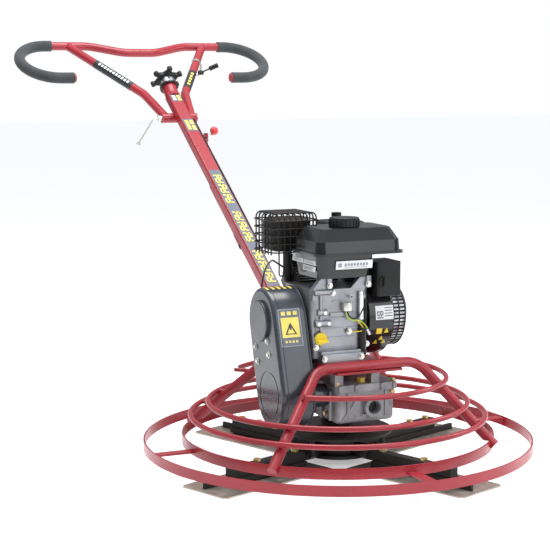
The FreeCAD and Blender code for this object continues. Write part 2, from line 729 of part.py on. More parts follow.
def fan_cover():
    """Blower housing: a drum round the flywheel, open towards the starter, on a neck from the case."""
    bevel = 9.0
    outer = x_rod(FAN_R, FAN_X, CRANK_Y, CRANK_Z)
    outer = outer.makeChamfer(bevel, [e for e in outer.Edges if abs(e.BoundBox.XMin - FAN_X[1]) < 0.01])
    neck = x_rod(60.0, (CRANKCASE_X[1], FAN_X[0] + 1), CRANK_Y, CRANK_Z)
    inner = x_rod(FAN_R - 3, (FAN_X[0] + 3, FAN_X[1] - bevel - 3), CRANK_Y, CRANK_Z)
    bevelled = x_rod(FAN_R - bevel - 3, (FAN_X[0] + 3, FAN_X[1] - 3), CRANK_Y, CRANK_Z)
    mouth = x_rod(68.0, (FAN_X[1] - 5, FAN_X[1] + 1), CRANK_Y, CRANK_Z)
    shaft = x_rod(14.0, (CRANKCASE_X[1] - 1, FAN_X[0] + 4), CRANK_Y, CRANK_Z)
    return cut_all(outer.fuse(neck), [inner, bevelled, mouth, shaft])


def recoil_cover():
    """Starter housing: a domed drum with slots round it."""
    outer = x_rod(RECOIL_R, RECOIL_X, CRANK_Y, CRANK_Z)
    outer = outer.makeFillet(22.0, [e for e in outer.Edges if abs(e.BoundBox.XMin - RECOIL_X[1]) < 0.01])
    inner = x_rod(RECOIL_R - 4, (RECOIL_X[0] - 1, RECOIL_X[1] - 22), CRANK_Y, CRANK_Z)
    slot_box = box((RECOIL_X[0] + 6, RECOIL_X[0] + 20), (RECOIL_R - 8, RECOIL_R + 4), (-5.0, 5.0))
    slots = []
    for index in range(16):
        place = FreeCAD.Placement(V(0, CRANK_Y, CRANK_Z), FreeCAD.Rotation(X_AXIS, 22.5 * index + 11.25))
        slots.append(moved(slot_box, place))
    return cut_all(outer, [inner] + slots)


def starter_grip():
    """Pull handle at the back of the starter housing."""
    along = unit(GRIP_ANGLE)
    start = V((RECOIL_X[0] + RECOIL_X[1]) / 2, CRANK_Y, CRANK_Z) + along * (RECOIL_R + 1.0)
    neck = rod(7.0, start, start + along * 9)
    side = X_AXIS * 24
    bar = rod(9.0, start + along * 14 - side, start + along * 14 + side)
    return neck.fuse(bar)


def tank_shell(x, y, z, inset, radius):
    """Tank stage from one outline to a smaller one; inset is how much smaller in X and in Y."""
    wide = rounded_outline(x, y, z[0], radius)
    narrow_x = (x[0] + inset[0], x[1] - inset[0])
    narrow_y = (y[0] + inset[1], y[1] - inset[1])
    return Part.makeLoft([wide, rounded_outline(narrow_x, narrow_y, z[1], radius * 0.8)], True)


def shrunk(span, amount):
    return (span[0] + amount, span[1] - amount)


def rounded_outline(x, y, z, radius):
    """Closed wire: a rectangle with round corners at height z."""
    corners = [(x[0], y[0], 180), (x[1], y[0], 270), (x[1], y[1], 0), (x[0], y[1], 90)]
    edges = []
    last = None
    for cx, cy, turn in corners:
        centre = V(cx + (radius if cx == x[0] else -radius), cy + (radius if cy == y[0] else -radius), z)
        arc = Part.makeCircle(radius, centre, Z_AXIS, turn, turn + 90)
        if last is not None:
            edges.append(Part.LineSegment(last, arc.valueAt(arc.FirstParameter)).toShape())
        edges.append(arc)
        last = arc.valueAt(arc.LastParameter)
    first = edges[0].valueAt(edges[0].FirstParameter)
    edges.append(Part.LineSegment(last, first).toShape())
    return Part.Wire(edges)


def fuel_tank():
    """Two pressed halves joined at a seam flange: a faceted crown above, a narrower bowl below."""
    wall_x = shrunk(TANK_X, 6)
    wall_y = shrunk(TANK_Y, 6)
    facet_x = shrunk(wall_x, 3)
    facet_y = shrunk(wall_y, 3)
    top_x = shrunk(facet_x, 18)
    top_y = shrunk(facet_y, 16)
    seam_z = (TANK_SEAM_Z - 3, TANK_SEAM_Z + 3)
    stages = [
        tank_shell(wall_x, wall_y, (seam_z[1], TANK_SHOULDER_Z), (3, 3), 24.0),
        tank_shell(facet_x, facet_y, (TANK_SHOULDER_Z, TANK_FACET_Z), (18, 16), 22.0),
        tank_shell(top_x, top_y, (TANK_FACET_Z, TANK_TOP_Z), (8, 8), 18.0),
        tank_shell(BOWL_X, wall_y, (seam_z[0], TANK_BOTTOM_Z), (8, 8), 22.0),
        rounded_box(TANK_X, TANK_Y, seam_z, 24.0),
        z_rod(24.0, (TANK_FACET_Z, TANK_TOP_Z + 8), *TANK_CAP_XY),
    ]
    hollow = fuse([
        box(shrunk(BOWL_X, 12), shrunk(TANK_Y, 18), (TANK_BOTTOM_Z + 4, TANK_SHOULDER_Z)),
        z_rod(21.0, (TANK_SEAM_Z, TANK_TOP_Z + 10), *TANK_CAP_XY),
    ])
    return fuse(stages).cut(hollow)


def fuel_cap():
    """Ribbed cap that turns on the filler neck."""
    cap_x, cap_y = TANK_CAP_XY
    low = TANK_TOP_Z + 0.6
    high = low + 21
    skirt = z_rod(TANK_CAP_R, (low, high), cap_x, cap_y)
    skirt = skirt.makeFillet(3.0, [e for e in skirt.Edges if abs(e.BoundBox.ZMin - high) < 0.01])
    ribs = [
        turned_z(box((TANK_CAP_R - 2, TANK_CAP_R + 1.6), (-2.0, 2.0), (low + 1, low + 16)), 15 * index)
        for index in range(24)
    ]
    ribs = [moved(rib, FreeCAD.Placement(V(cap_x, cap_y, 0), FreeCAD.Rotation())) for rib in ribs]
    return fuse([skirt] + ribs).cut(z_rod(24.0 + RUN_GAP, (low - 1, low + 9), cap_x, cap_y))


def dipstick():
    """Yellow oil filler plug with a finger tab, screwed into the case front."""
    down = filler_inward() * -1
    mouth = FILLER + down * 0.4
    stem = rod(5.95, mouth - down * 24, mouth)
    head = rod(15.0, mouth, mouth + down * 7)
    tab = Part.makeBox(26, 4, 14, V(-13, -2, 0))
    tab = moved(tab, FreeCAD.Placement(mouth + down * 6.5, FreeCAD.Rotation(Z_AXIS, down)))
    return fuse([stem, head, tab])


def air_cleaner():
    """Box with rounded edges on a narrower base, held down by its knob."""
    body = rounded_box(AIR_X, AIR_Y, AIR_Z, 22.0)
    rim = [e for e in body.Edges if abs(e.BoundBox.ZMin - AIR_Z[1]) < 0.01]
    base = rounded_box((AIR_X[0] + 14, AIR_X[1] - 4), shrunk(AIR_Y, 4), (AIR_BASE_Z, AIR_Z[0] + 1), 18.0)
    knob_hole = z_rod(4.0 + RUN_GAP, (AIR_Z[1] - 14, AIR_Z[1] + 1), *AIR_KNOB_XY)
    return body.makeFillet(9.0, rim).fuse(base).cut(knob_hole)


def air_cleaner_knob():
    low = AIR_Z[1] + 0.4
    knob = z_rod(15.0, (low, low + 7), *AIR_KNOB_XY)
    grip = z_rod(12.5, (low + 7, low + 21), *AIR_KNOB_XY)
    stem = z_rod(4.0, (AIR_Z[1] - 12, low), *AIR_KNOB_XY)
    return fuse([knob, grip, stem])


def head_centre():
    """Middle of the cylinder head."""
    return cylinder_place().multVec(V(0, 0, HEAD_FROM + HEAD_THICK / 2))


def carburettor():
    """Body under the air cleaner, with its throat into the right side of the cylinder head."""
    centre = head_centre()
    side_x = CYLINDER_X + 50.0
    body = box((side_x + 8, side_x + 52), (centre.y - 23, centre.y + 23), (AIR_BASE_Z - 46, AIR_BASE_Z))
    throat = x_rod(13.0, (side_x, side_x + 9), centre.y, centre.z)
    return body.fuse(throat).cut(x_rod(8.0, (side_x - 1, side_x + 40), centre.y, centre.z))


def muffler():
    """Silencer drum with its exhaust elbow down to the cylinder head."""
    drum = rounded_box(MUFFLER_X, MUFFLER_Y, MUFFLER_Z, 22.0)
    rim = [e for e in drum.Edges if e.BoundBox.ZLength < 0.01]
    drum = drum.makeFillet(7.0, rim)
    port = head_centre() - X_AXIS * 50.0
    points = [V(-93, 92, MUFFLER_Z[0] + 3), V(-93, 92, port.z - 16), port - V(0, 2, 10)]
    elbow = bent_tube(points, [14.0], 11.0)
    outlet = rod(9.0, V(-50, MUFFLER_Y[1] - 2, 560), V(-50, MUFFLER_Y[1] + 9, 560))
    return cut_all(fuse([drum, elbow, outlet]), [moved(cylinder_envelope(), cylinder_place())])


def cylinder_envelope():
    """Room taken by the fins and the head, in the cylinder's own frame."""
    return Part.makeBox(104.2, 2 * HEAD_HALF + 4.2, 120, V(-52.1, -HEAD_HALF - 2.1, 74))


def muffler_cage():
    """Wire guard: five hoops round the silencer, and bent wires over its top both ways."""
    wire = 1.8
    low, high = CAGE_Z
    inside = 2.4
    shapes = []
    for index in range(5):
        z = low + 7 + 19 * index
        outline = rounded_outline(CAGE_X, CAGE_Y, z, 16.0)
        run = outline.Edges[1]
        start = run.valueAt(run.FirstParameter)
        profile = Part.Wire(Part.makeCircle(wire, start, run.tangentAt(run.FirstParameter)))
        shapes.append(Part.Solid(outline.makePipeShell([profile], True, True)))
        shapes.append(rod(wire, V(CAGE_X[0] - 9, CAGE_Y[0] + 30, z), V(CAGE_X[0] + 1, CAGE_Y[0] + 30, z)))
    first, last = shrunk(CAGE_X, 17)
    for index in range(7):
        x = first + (last - first) / 6 * index
        front, back = shrunk(CAGE_Y, inside)
        points = [V(x, front, low), V(x, front, high), V(x, back, high), V(x, back, low)]
        shapes.append(bent_tube(points, [14.0, 14.0], wire))
    first, last = shrunk(CAGE_Y, 17)
    for index in range(6):
        y = first + (last - first) / 5 * index
        left, right = shrunk(CAGE_X, inside)
        points = [V(left, y, low), V(left, y, high + inside), V(right, y, high + inside), V(right, y, low)]
        shapes.append(bent_tube(points, [14.0, 14.0], wire))
    leg_x = CAGE_X[0] + 17
    leg = [
        V(leg_x, CAGE_Y[0] + inside, low + 7),
        V(leg_x, CAGE_Y[0] + inside, low - 50),
        V(leg_x + 12, CAGE_Y[0] + inside, low - 50),
        V(leg_x + 12, CAGE_Y[0] + inside, low - 20),
    ]
    shapes.append(bent_tube(leg, [5.0, 5.0], wire))
    return Part.makeCompound(cage_panels(fuse(shapes)))


def cage_panels(cage):
    """The cage divided where its wires bend: a top, four sides and the leg below them."""
    left, right = CAGE_X
    front, back = CAGE_Y
    low, high = CAGE_Z
    bend = high - 14
    side = 14
    wide_x = (left - 20, right + 20)
    blocks = [
        box(wide_x, (front - 20, back + 20), (bend, high + 20)),
        box(wide_x, (front - 20, front + side), (low - 1, bend)),
        box(wide_x, (back - side, back + 20), (low - 1, bend)),
        box((left - 20, left + 40), (front + side, back - side), (low - 1, bend)),
        box((right - 40, right + 20), (front + side, back - side), (low - 1, bend)),
        box(wide_x, (front - 20, back + 20), (low - 80, low - 1)),
    ]
    return [cage.common(block).Solids[0] for block in blocks]


def control_box():
    """Ignition housing beside the tank: deep in front, stepped over the fan drum, on one foot."""
    step_y, step_z = CONTROL_STEP
    front = rounded_box(CONTROL_X, (CONTROL_Y[0], step_y), CONTROL_Z, 7.0)
    rear = box(CONTROL_X, (step_y - 8, CONTROL_Y[1]), (step_z, CONTROL_Z[1]))
    foot = box((CONTROL_X[0] + 16, CONTROL_X[1] - 16), (step_y + 12, CONTROL_Y[1] - 8), (step_z - 40, step_z))
    switch_x, switch_z = SWITCH_XZ
    mouth = V(switch_x, CONTROL_Y[0] - 1, switch_z)
    hole = rod(4.0 + RUN_GAP, mouth, mouth + V(0, 15, 0))
    drum = x_rod(FAN_R + 0.05, FAN_X, CRANK_Y, CRANK_Z)
    return cut_all(fuse([front, rear, foot]), [hole, drum])


def switch_knob():
    front = CONTROL_Y[0] - 0.4
    x, z = SWITCH_XZ
    disc = rod(12.0, V(x, front, z), V(x, front - 5, z))
    rib = box((x - 2.5, x + 2.5), (front - 12, front - 5), (z - 10.5, z + 10.5))
    stem = rod(4.0, V(x, front + 12, z), V(x, front, z))
    return fuse([disc, rib, stem])


# ---- pole and handlebar ------------------------------------------------------

def pole_point(y):
    """Point on the pole's centre line at depth y."""
    return V(CENTRE_X, y, POLE_PASS.z + (y - POLE_PASS.y) * math.tan(math.radians(POLE_ANGLE)))


def pole_beam(width, depth, start, end, sink):
    """Rectangular tube along the pole's direction, sunk below the centre line."""
    length = (end - start).Length
    beam = Part.makeBox(width, length, depth, V(-width / 2, 0, -depth / 2 - sink))
    return moved(beam, FreeCAD.Placement(start, FreeCAD.Rotation(X_AXIS, POLE_ANGLE)))


def pole():
    """Square tube from the gearbox to the neck, with its stay, foot, hinge sleeve and stop bracket."""
    bottom = pole_point(60)
    top = pole_point(POLE_TOP_Y)
    beam = pole_beam(POLE_WIDTH, POLE_DEPTH, bottom, top, 0.0)
    long_edges = [e for e in beam.Edges if e.Length > 500]
    beam = beam.makeFillet(5.0, long_edges)
    under = pole_normal() * -STAY_DROP
    stay = rod(STAY_R, pole_point(STAY_Y[0]) + under, pole_point(STAY_Y[1]) + under)
    stay_end = Part.makeSphere(STAY_R, pole_point(STAY_Y[1]) + under)
    sleeve_low, sleeve_high = [pole_point(y) + under for y in STAY_SLEEVE_Y]
    sleeve_on_stay = rod(STAY_R + 2, sleeve_low, sleeve_high)
    foot = box((CENTRE_X - 42, CENTRE_X + 42), (BOX_Y[1], BOX_Y[1] + 8), (118.0, 186.0))
    sleeve = x_rod(15.0, (CENTRE_X - 30, CENTRE_X + 30), *HINGE_YZ)
    neck = [
        rod(NECK_R, top - unit(POLE_ANGLE) * 16, top),
        Part.makeSphere(NECK_R, top),
        rod(NECK_R, top, top + unit(NECK_ANGLE) * NECK_LENGTH),
    ]
    body = fuse([beam, stay, stay_end, sleeve_on_stay, foot, sleeve] + neck + [stop_bracket()])
    hollow = pole_beam(POLE_WIDTH - 6, POLE_DEPTH - 6, pole_point(140), pole_point(1100), 0.0)
    behind = box((-200, 200), (-200, BOX_Y[1]), (-200, 400))
    hinge_bore = x_rod(5.0 + RUN_GAP, (CENTRE_X - 31, CENTRE_X + 31), *HINGE_YZ)
    neck_bore = rod(12.0, top, top + unit(NECK_ANGLE) * (NECK_LENGTH + 1))
    return cut_all(body, [hollow, behind, hinge_bore, neck_bore])


def pole_normal():
    return unit(POLE_ANGLE + 90)


def stop_bracket():
    """Flat bracket on the pole's right side that carries the stop lever's pivot."""
    x, y, z = STOP_POS
    arm_bar = box((CENTRE_X + POLE_WIDTH / 2 - 1, x), (y - 12, y + 12), (z + 6, z + 11))
    upright = box((x - 4, x), (y - 14, y + 14), (z - 10, z + 16))
    return arm_bar.fuse(upright).cut(x_rod(4.0 + RUN_GAP, (x - 6, x + 2), y, z))


def stop_lever():
    """Zinc plate that turns on the bracket, with a ball on its stem."""
    x = STOP_POS.x + 0.4
    y, z = STOP_POS.y, STOP_POS.z
    plate = box((x, x + 3), (y - 12, y + 10), (z - 34, z + 10))
    pivot = x_rod(4.0, (x - 8, x), y, z)
    stem = rod(3.0, V(x + 1.5, y, z), V(x + 20, y, z + 16))
    ball = Part.makeSphere(13.0, V(x + 24, y, z + 22))
    return fuse([plate, pivot, stem, ball])


def pole_collar():
    """Lock ring and bearing cup that the pitch wheel turns on, plugged into the neck."""
    along = unit(NECK_ANGLE)
    top = pole_point(POLE_TOP_Y)
    ring = rod(RING_R, top + along * NECK_LENGTH, top + along * (NECK_LENGTH + 6))
    cup = Part.makeCone(27.0, 24.0, WHEEL_UP - 0.4 - NECK_LENGTH - 6, top + along * (NECK_LENGTH + 6), along)
    stub = rod(11.9, top + along * 4, top + along * NECK_LENGTH)
    return fuse([ring, cup, stub]).cut(rod(6.0 + RUN_GAP, top, top + along * (WHEEL_UP + 1)))


def pitch_wheel():
    """Star wheel with six rounded arms on its threaded spindle."""
    base = pole_point(POLE_TOP_Y) + unit(NECK_ANGLE) * WHEEL_UP
    place = FreeCAD.Placement(base, FreeCAD.Rotation(X_AXIS, NECK_ANGLE - 90))
    middle = V(0, 0, 8)
    shapes = [Part.makeCylinder(27, 16), Part.makeCylinder(6.0, 36, V(0, 0, -36))]
    for index in range(6):
        turn = math.radians(60 * index + 30)
        out = V(math.cos(turn), math.sin(turn), 0)
        shapes.append(Part.makeCylinder(6.5, PITCH_WHEEL_R - 8, middle, out))
        shapes.append(Part.makeSphere(8.0, out * (PITCH_WHEEL_R - 8) + middle))
    return moved(fuse(shapes), place)


def handle_point(across, along):
    """Point in the handlebar's own plane: across is X, along climbs from the hinge line's bar."""
    return V(CENTRE_X + across, HANDLE_BAR_YZ[0], HANDLE_BAR_YZ[1]) + unit(HANDLE_SLOPE) * along


def handlebar():
    """Dipped cross bar, two curls and two arms that end in the hinge eyes."""
    bar_points = [
        handle_point(-GRIP_CURL_X, 60), handle_point(-165, 60), handle_point(-55, 15),
        handle_point(55, 15), handle_point(165, 60), handle_point(GRIP_CURL_X, 60),
    ]
    shapes = [bent_tube(bar_points, [120.0] * 4, HANDLE_TUBE_R)]
    for side in (-1, 1):
        shapes.append(curl(side, HANDLE_TUBE_R))
        arm_points = [
            handle_point(side * ARM_TOP[0], ARM_TOP[1]),
            handle_point(side * ARM_CORNER[0], ARM_CORNER[1]),
            handle_point(side * 42, HINGE_ALONG),
        ]
        shapes.append(bent_tube(arm_points, [60.0], HANDLE_TUBE_R))
        ends = sorted((CENTRE_X + side * EYE_X[0], CENTRE_X + side * EYE_X[1]))
        shapes.append(x_rod(15.0, ends, *HINGE_YZ))
    body = fuse(shapes)
    bore = x_rod(5.0 + RUN_GAP, (CENTRE_X - 60, CENTRE_X + 60), *HINGE_YZ)
    sleeve_room = x_rod(16.5, (CENTRE_X - EYE_X[0], CENTRE_X + EYE_X[0]), *HINGE_YZ)
    return cut_all(body, [bore, sleeve_room])


def curl_path(side):
    """Half circle and a short straight, in the handlebar's plane."""
    top = handle_point(side * GRIP_CURL_X, 60)
    outer = handle_point(side * (GRIP_CURL_X + GRIP_CURL_R), 60 - GRIP_CURL_R)
    low = handle_point(side * GRIP_CURL_X, 60 - 2 * GRIP_CURL_R)
    end = handle_point(side * (GRIP_CURL_X - 46), 60 - 2 * GRIP_CURL_R)
    return [Part.Arc(top, outer, low).toShape(), Part.LineSegment(low, end).toShape()]


def curl(side, radius):
    path = Part.Wire(curl_path(side))
    start = handle_point(side * GRIP_CURL_X, 60)
    profile = Part.Wire(Part.makeCircle(radius, start, X_AXIS))
    return Part.Solid(path.makePipeShell([profile], True, True))


def foam_grips():
    """Two foam sleeves, each over a curl and a little of the bar."""
    grips = []
    for side in (-1, 1):
        start = handle_point(side * (GRIP_CURL_X - 18), 60)
        top = handle_point(side * GRIP_CURL_X, 60)
        edges = [Part.LineSegment(start, top).toShape()] + curl_path(side)
        last = edges[-1]
        edges[-1] = Part.LineSegment(last.valueAt(last.FirstParameter), handle_point(
            side * (GRIP_CURL_X - 40), 60 - 2 * GRIP_CURL_R)).toShape()
        path = Part.Wire(edges)
        profile = Part.Wire(Part.makeCircle(GRIP_R, start, X_AXIS))
        outer = Part.Solid(path.makePipeShell([profile], True, True))
        inner_profile = Part.Wire(Part.makeCircle(HANDLE_TUBE_R, start, X_AXIS))
        inner = Part.Solid(path.makePipeShell([inner_profile], True, True))
        grips.append(outer.cut(inner))
    return grips


def clamp_lever():
    """Hinge bolt with a bent rod handle at its left end and a round nut at its right end."""
    y, z = HINGE_YZ
    left = CENTRE_X - EYE_X[1] - 0.4
    right = CENTRE_X + EYE_X[1] + 0.4
    bolt = x_rod(5.0, (left - 8, right + 8), y, z)
    nut = x_rod(9.5, (right, right + 9), y, z)
    boss = x_rod(8.0, (left - 12, left), y, z)
    bend = V(left - 28, y - 4, z - 4)
    end = V(left - 78, y - 6, z - 78)
    handle = bent_tube([V(left - 6, y, z), bend, end], [9.0], 3.2)
    tip = rod(5.0, end + V(4, 0, -3), end + V(-4, 0, 3))
    return fuse([bolt, nut, boss, handle, tip])


def throttle_place():
    """Centre of the throttle band on the right arm, and the arm's direction there."""
    upper = handle_point(*ARM_TOP)
    lower = handle_point(*ARM_CORNER)
    along = (upper - lower).normalize()
    return lower + along * THROTTLE_UP, along


def throttle_out():
    """Direction out of the right arm, in the handlebar's plane."""
    along = throttle_place()[1]
    return along.cross(unit(HANDLE_SLOPE + 90)).normalize()


def throttle_pivot():
    centre, along = throttle_place()
    return centre - along * THROTTLE_DROP + throttle_out() * (HANDLE_TUBE_R + 13)


def throttle_clamp():
    """Band round the right arm, with a strap down to the throttle lever's boss."""
    centre, along = throttle_place()
    out = throttle_out()
    up = unit(HANDLE_SLOPE + 90)
    pivot = throttle_pivot()
    tube = rod(HANDLE_TUBE_R, centre - along * 100, centre + along * 20)
    strap_top = centre + out * (HANDLE_TUBE_R + 4)
    shapes = [
        rod(HANDLE_TUBE_R + 2.5, centre - along * 6, centre + along * 6),
        rod(3.0, strap_top, pivot - up * 3.5),
        rod(9.0, pivot - up * 7, pivot + up),
        rod(5.0, pivot - up * 5.5 - out * 14, pivot - up * 5.5),
    ]
    return cut_all(fuse(shapes), [tube, rod(3.0 + RUN_GAP, pivot - up * 8, pivot + up * 2)])


def throttle_lever():
    """Black paddle on a thin arm, with its pivot pin in the clamp's boss."""
    along = throttle_place()[1]
    up = unit(HANDLE_SLOPE + 90)
    seat = throttle_pivot() + up * 1.4
    direction = (throttle_out() * 0.8 + along * 0.3 + up * 0.5).normalize()
    lift = up * 3.5
    shapes = [
        rod(3.0, seat - up * 7, seat + up * 3),
        rod(10.0, seat, seat + up * 7),
        rod(2.4, seat + lift, seat + lift + direction * 34),
        rod(7.5, seat + lift + direction * 30, seat + lift + direction * 62),
    ]
    return fuse(shapes)


def throttle_cable():
    """Cable along the pole's right side, under it and up to the engine, made whole."""
    path = round_corners(CABLE_POINTS, cable_radii())
    direction = CABLE_POINTS[1] - CABLE_POINTS[0]
    profile = Part.Wire(Part.makeCircle(CABLE_R, CABLE_POINTS[0], direction))
    return Part.Solid(path.makePipeShell([profile], True, True))


def cable_radii():
    """Each arc takes 0.45 of its shorter run."""
    radii = []
    for index in range(1, len(CABLE_POINTS) - 1):
        before = CABLE_POINTS[index] - CABLE_POINTS[index - 1]
        after = CABLE_POINTS[index + 1] - CABLE_POINTS[index]
        turn = before.getAngle(after)
        radii.append(0.45 * min(before.Length, after.Length) / math.tan(turn / 2))
    return radii


def main():
    os.makedirs("parts", exist_ok=True)
    shapes = guard_frame()
    plain = {
        "engine_plate": engine_plate, "gearbox_housing": gearbox_housing, "gearbox_cover": gearbox_cover,
        "gearbox_oil_plug": oil_plug, "shaft_bearings": shaft_bearings, "belt_back_plate": belt_back_plate,
        "belt_cover": belt_cover, "cover_bolts": cover_bolts, "drive_belt": drive_belt,
        "clutch_pulley": clutch_pulley, "crankshaft": crank_shaft, "flywheel": flywheel,
        "worm_shaft": worm_shaft, "driven_pulley": driven_pulley, "output_shaft": output_shaft,
        "worm_wheel": worm_wheel, "spider_hub": spider_hub, "pressure_plate": pressure_plate,
        "pitch_yoke": pitch_yoke, "crankcase": crankcase, "cylinder": cylinder_block,
        "fan_cover": fan_cover, "recoil_cover": recoil_cover,
        "starter_grip": starter_grip, "fuel_tank": fuel_tank, "fuel_cap": fuel_cap,
        "oil_dipstick": dipstick, "air_cleaner": air_cleaner, "air_cleaner_knob": air_cleaner_knob,
        "carburettor": carburettor, "muffler": muffler, "muffler_cage": muffler_cage,
        "control_box": control_box, "switch_knob": switch_knob, "pole": pole,
        "pole_collar": pole_collar, "pitch_wheel": pitch_wheel, "handlebar": handlebar,
        "foam_grips": foam_grips, "clamp_lever": clamp_lever, "throttle_clamp": throttle_clamp,
        "throttle_lever": throttle_lever, "stop_lever": stop_lever, "throttle_cable": throttle_cable,
    }
    for name, make in plain.items():
        shapes[name] = make()
    for index in range(ARM_COUNT):
        shapes["arm_%d" % (index + 1)] = arm(index)
        shapes["blade_%d" % (index + 1)] = blade(index)
    for name, shape in shapes.items():
        solids = shape if isinstance(shape, list) else shape.Solids
        result = Part.makeCompound(solids) if len(solids) > 1 else solids[0]
        result.exportStep("parts/%s.step" % name)
        print(name, len(solids), round(sum(s.Volume for s in solids) / 1000.0, 1), "cm3")
    print("cable arc radii", [round(r) for r in cable_radii()])


main()
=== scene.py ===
import math
import bmesh
import bpy
from mathutils import Matrix, Vector


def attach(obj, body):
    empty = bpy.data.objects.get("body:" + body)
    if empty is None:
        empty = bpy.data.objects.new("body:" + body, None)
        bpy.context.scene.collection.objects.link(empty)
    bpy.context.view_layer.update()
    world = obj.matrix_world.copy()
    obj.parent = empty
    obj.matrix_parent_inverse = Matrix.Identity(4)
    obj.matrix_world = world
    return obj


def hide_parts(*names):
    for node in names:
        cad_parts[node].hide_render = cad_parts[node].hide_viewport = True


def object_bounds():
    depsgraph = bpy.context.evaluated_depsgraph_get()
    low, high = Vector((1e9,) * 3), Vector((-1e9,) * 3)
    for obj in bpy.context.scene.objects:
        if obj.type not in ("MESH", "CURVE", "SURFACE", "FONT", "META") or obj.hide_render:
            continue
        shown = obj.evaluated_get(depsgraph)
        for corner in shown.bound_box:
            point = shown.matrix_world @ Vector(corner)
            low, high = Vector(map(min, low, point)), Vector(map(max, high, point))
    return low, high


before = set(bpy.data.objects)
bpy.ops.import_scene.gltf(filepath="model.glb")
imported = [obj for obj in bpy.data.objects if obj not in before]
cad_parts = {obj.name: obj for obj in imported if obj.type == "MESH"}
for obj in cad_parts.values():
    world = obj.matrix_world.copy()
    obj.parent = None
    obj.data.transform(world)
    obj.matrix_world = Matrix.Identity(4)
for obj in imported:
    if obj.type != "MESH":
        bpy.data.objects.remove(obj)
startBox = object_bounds()
print("frame loaded")

mm = 0.001
rad = math.radians


def point(x, y, z):
    return Vector((x * mm, y * mm, z * mm))


def inYz(angle):
    # direction in the Y-Z plane, degrees above the floor
    return Vector((0, math.cos(rad(angle)), math.sin(rad(angle))))


def frameOf(origin, xDir, yDir):
    # matrix whose own X and Y are these directions
    x = xDir.normalized()
    z = x.cross(yDir).normalized()
    y = z.cross(x)
    return Matrix.Translation(origin) @ Matrix((x, y, z)).transposed().to_4x4()


def addBox(bm, low, high, place=Matrix.Identity(4)):
    # low and high are millimetre corners in the frame given by place
    corners = [(x, y, z) for x in (low[0], high[0]) for y in (low[1], high[1]) for z in (low[2], high[2])]
    v = [bm.verts.new(place @ point(*c)) for c in corners]
    for loop in ((0, 1, 3, 2), (4, 6, 7, 5), (0, 4, 5, 1), (2, 3, 7, 6), (0, 2, 6, 4), (1, 5, 7, 3)):
        bm.faces.new([v[i] for i in loop])


def addPrism(bm, outline, low, high, place=Matrix.Identity(4)):
    # outline is a list of millimetre pairs in place's own X-Y plane, counter-clockwise
    bottom = [bm.verts.new(place @ point(x, y, low)) for x, y in outline]
    top = [bm.verts.new(place @ point(x, y, high)) for x, y in outline]
    bm.faces.new(list(reversed(bottom)))
    bm.faces.new(top)
    for i in range(len(outline)):
        j = (i + 1) % len(outline)
        bm.faces.new((bottom[i], bottom[j], top[j], top[i]))


def addLathe(bm, profile, origin, axis, sides=40):
    # profile is (radius, height) pairs in millimetres; it starts and ends on the axis
    turn = axis.normalized().to_track_quat("Z", "Y").to_matrix()
    rings = []
    for radius, height in profile:
        if radius < 0.001:
            rings.append([bm.verts.new(origin + turn @ point(0, 0, height))])
            continue
        ring = []
        for i in range(sides):
            a = 2 * math.pi * i / sides
            rim = point(radius * math.cos(a), radius * math.sin(a), height)
            ring.append(bm.verts.new(origin + turn @ rim))
        rings.append(ring)
    for low, high in zip(rings, rings[1:]):
        for i in range(sides):
            j = (i + 1) % sides
            if len(low) == 1:
                bm.faces.new((low[0], high[i], high[j]))
            elif len(high) == 1:
                bm.faces.new((low[i], high[0], low[j]))
            else:
                bm.faces.new((low[i], low[j], high[j], high[i]))


def addCurvedPatch(bm, x, centre, radius, fromAngle, toAngle, thick=0.7, steps=10):
    # a thin patch on a cylinder along X; angles are measured from +Y towards +Z
    rings = []
    for step in range(steps + 1):
        a = rad(fromAngle + (toAngle - fromAngle) * step / steps)
        ring = []
        for r in (radius - thick, radius):
            for px in x:
                ring.append(bm.verts.new(point(px, centre[0] + r * math.cos(a), centre[1] + r * math.sin(a))))
        rings.append(ring)
    for low, high in zip(rings, rings[1:]):
        for a, b in ((0, 1), (1, 3), (3, 2), (2, 0)):
            bm.faces.new((low[a], low[b], high[b], high[a]))
    bm.faces.new([rings[0][i] for i in (0, 2, 3, 1)])
    bm.faces.new([rings[-1][i] for i in (0, 1, 3, 2)])


def addRod(bm, start, end, radius, sides=24, chamfer=0.6):
    length = (end - start).length / mm
    profile = [(0, 0), (radius - chamfer, 0), (radius, chamfer), (radius, length - chamfer),
               (radius - chamfer, length), (0, length)]
    addLathe(bm, profile, start, end - start, sides)


def makePiece(name, bm, material, body, bevel=0.0, smooth=40):
    bmesh.ops.recalc_face_normals(bm, faces=bm.faces)
    mesh = bpy.data.meshes.new(name)
    bm.to_mesh(mesh)
    bm.free()
    piece = bpy.data.objects.new(name, mesh)
    bpy.context.collection.objects.link(piece)
    mesh.materials.append(material)
    if bevel:
        modifier = piece.modifiers.new("edges", "BEVEL")
        modifier.width = bevel * mm
        modifier.segments = 2
        modifier.limit_method = "ANGLE"
        modifier.angle_limit = rad(35)
        plain = bpy.data.meshes.new_from_object(piece.evaluated_get(bpy.context.evaluated_depsgraph_get()))
        piece.modifiers.clear()
        piece.data = plain
    piece.data.shade_smooth()
    piece.data.set_sharp_from_angle(angle=rad(smooth))
    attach(piece, body)
    return piece


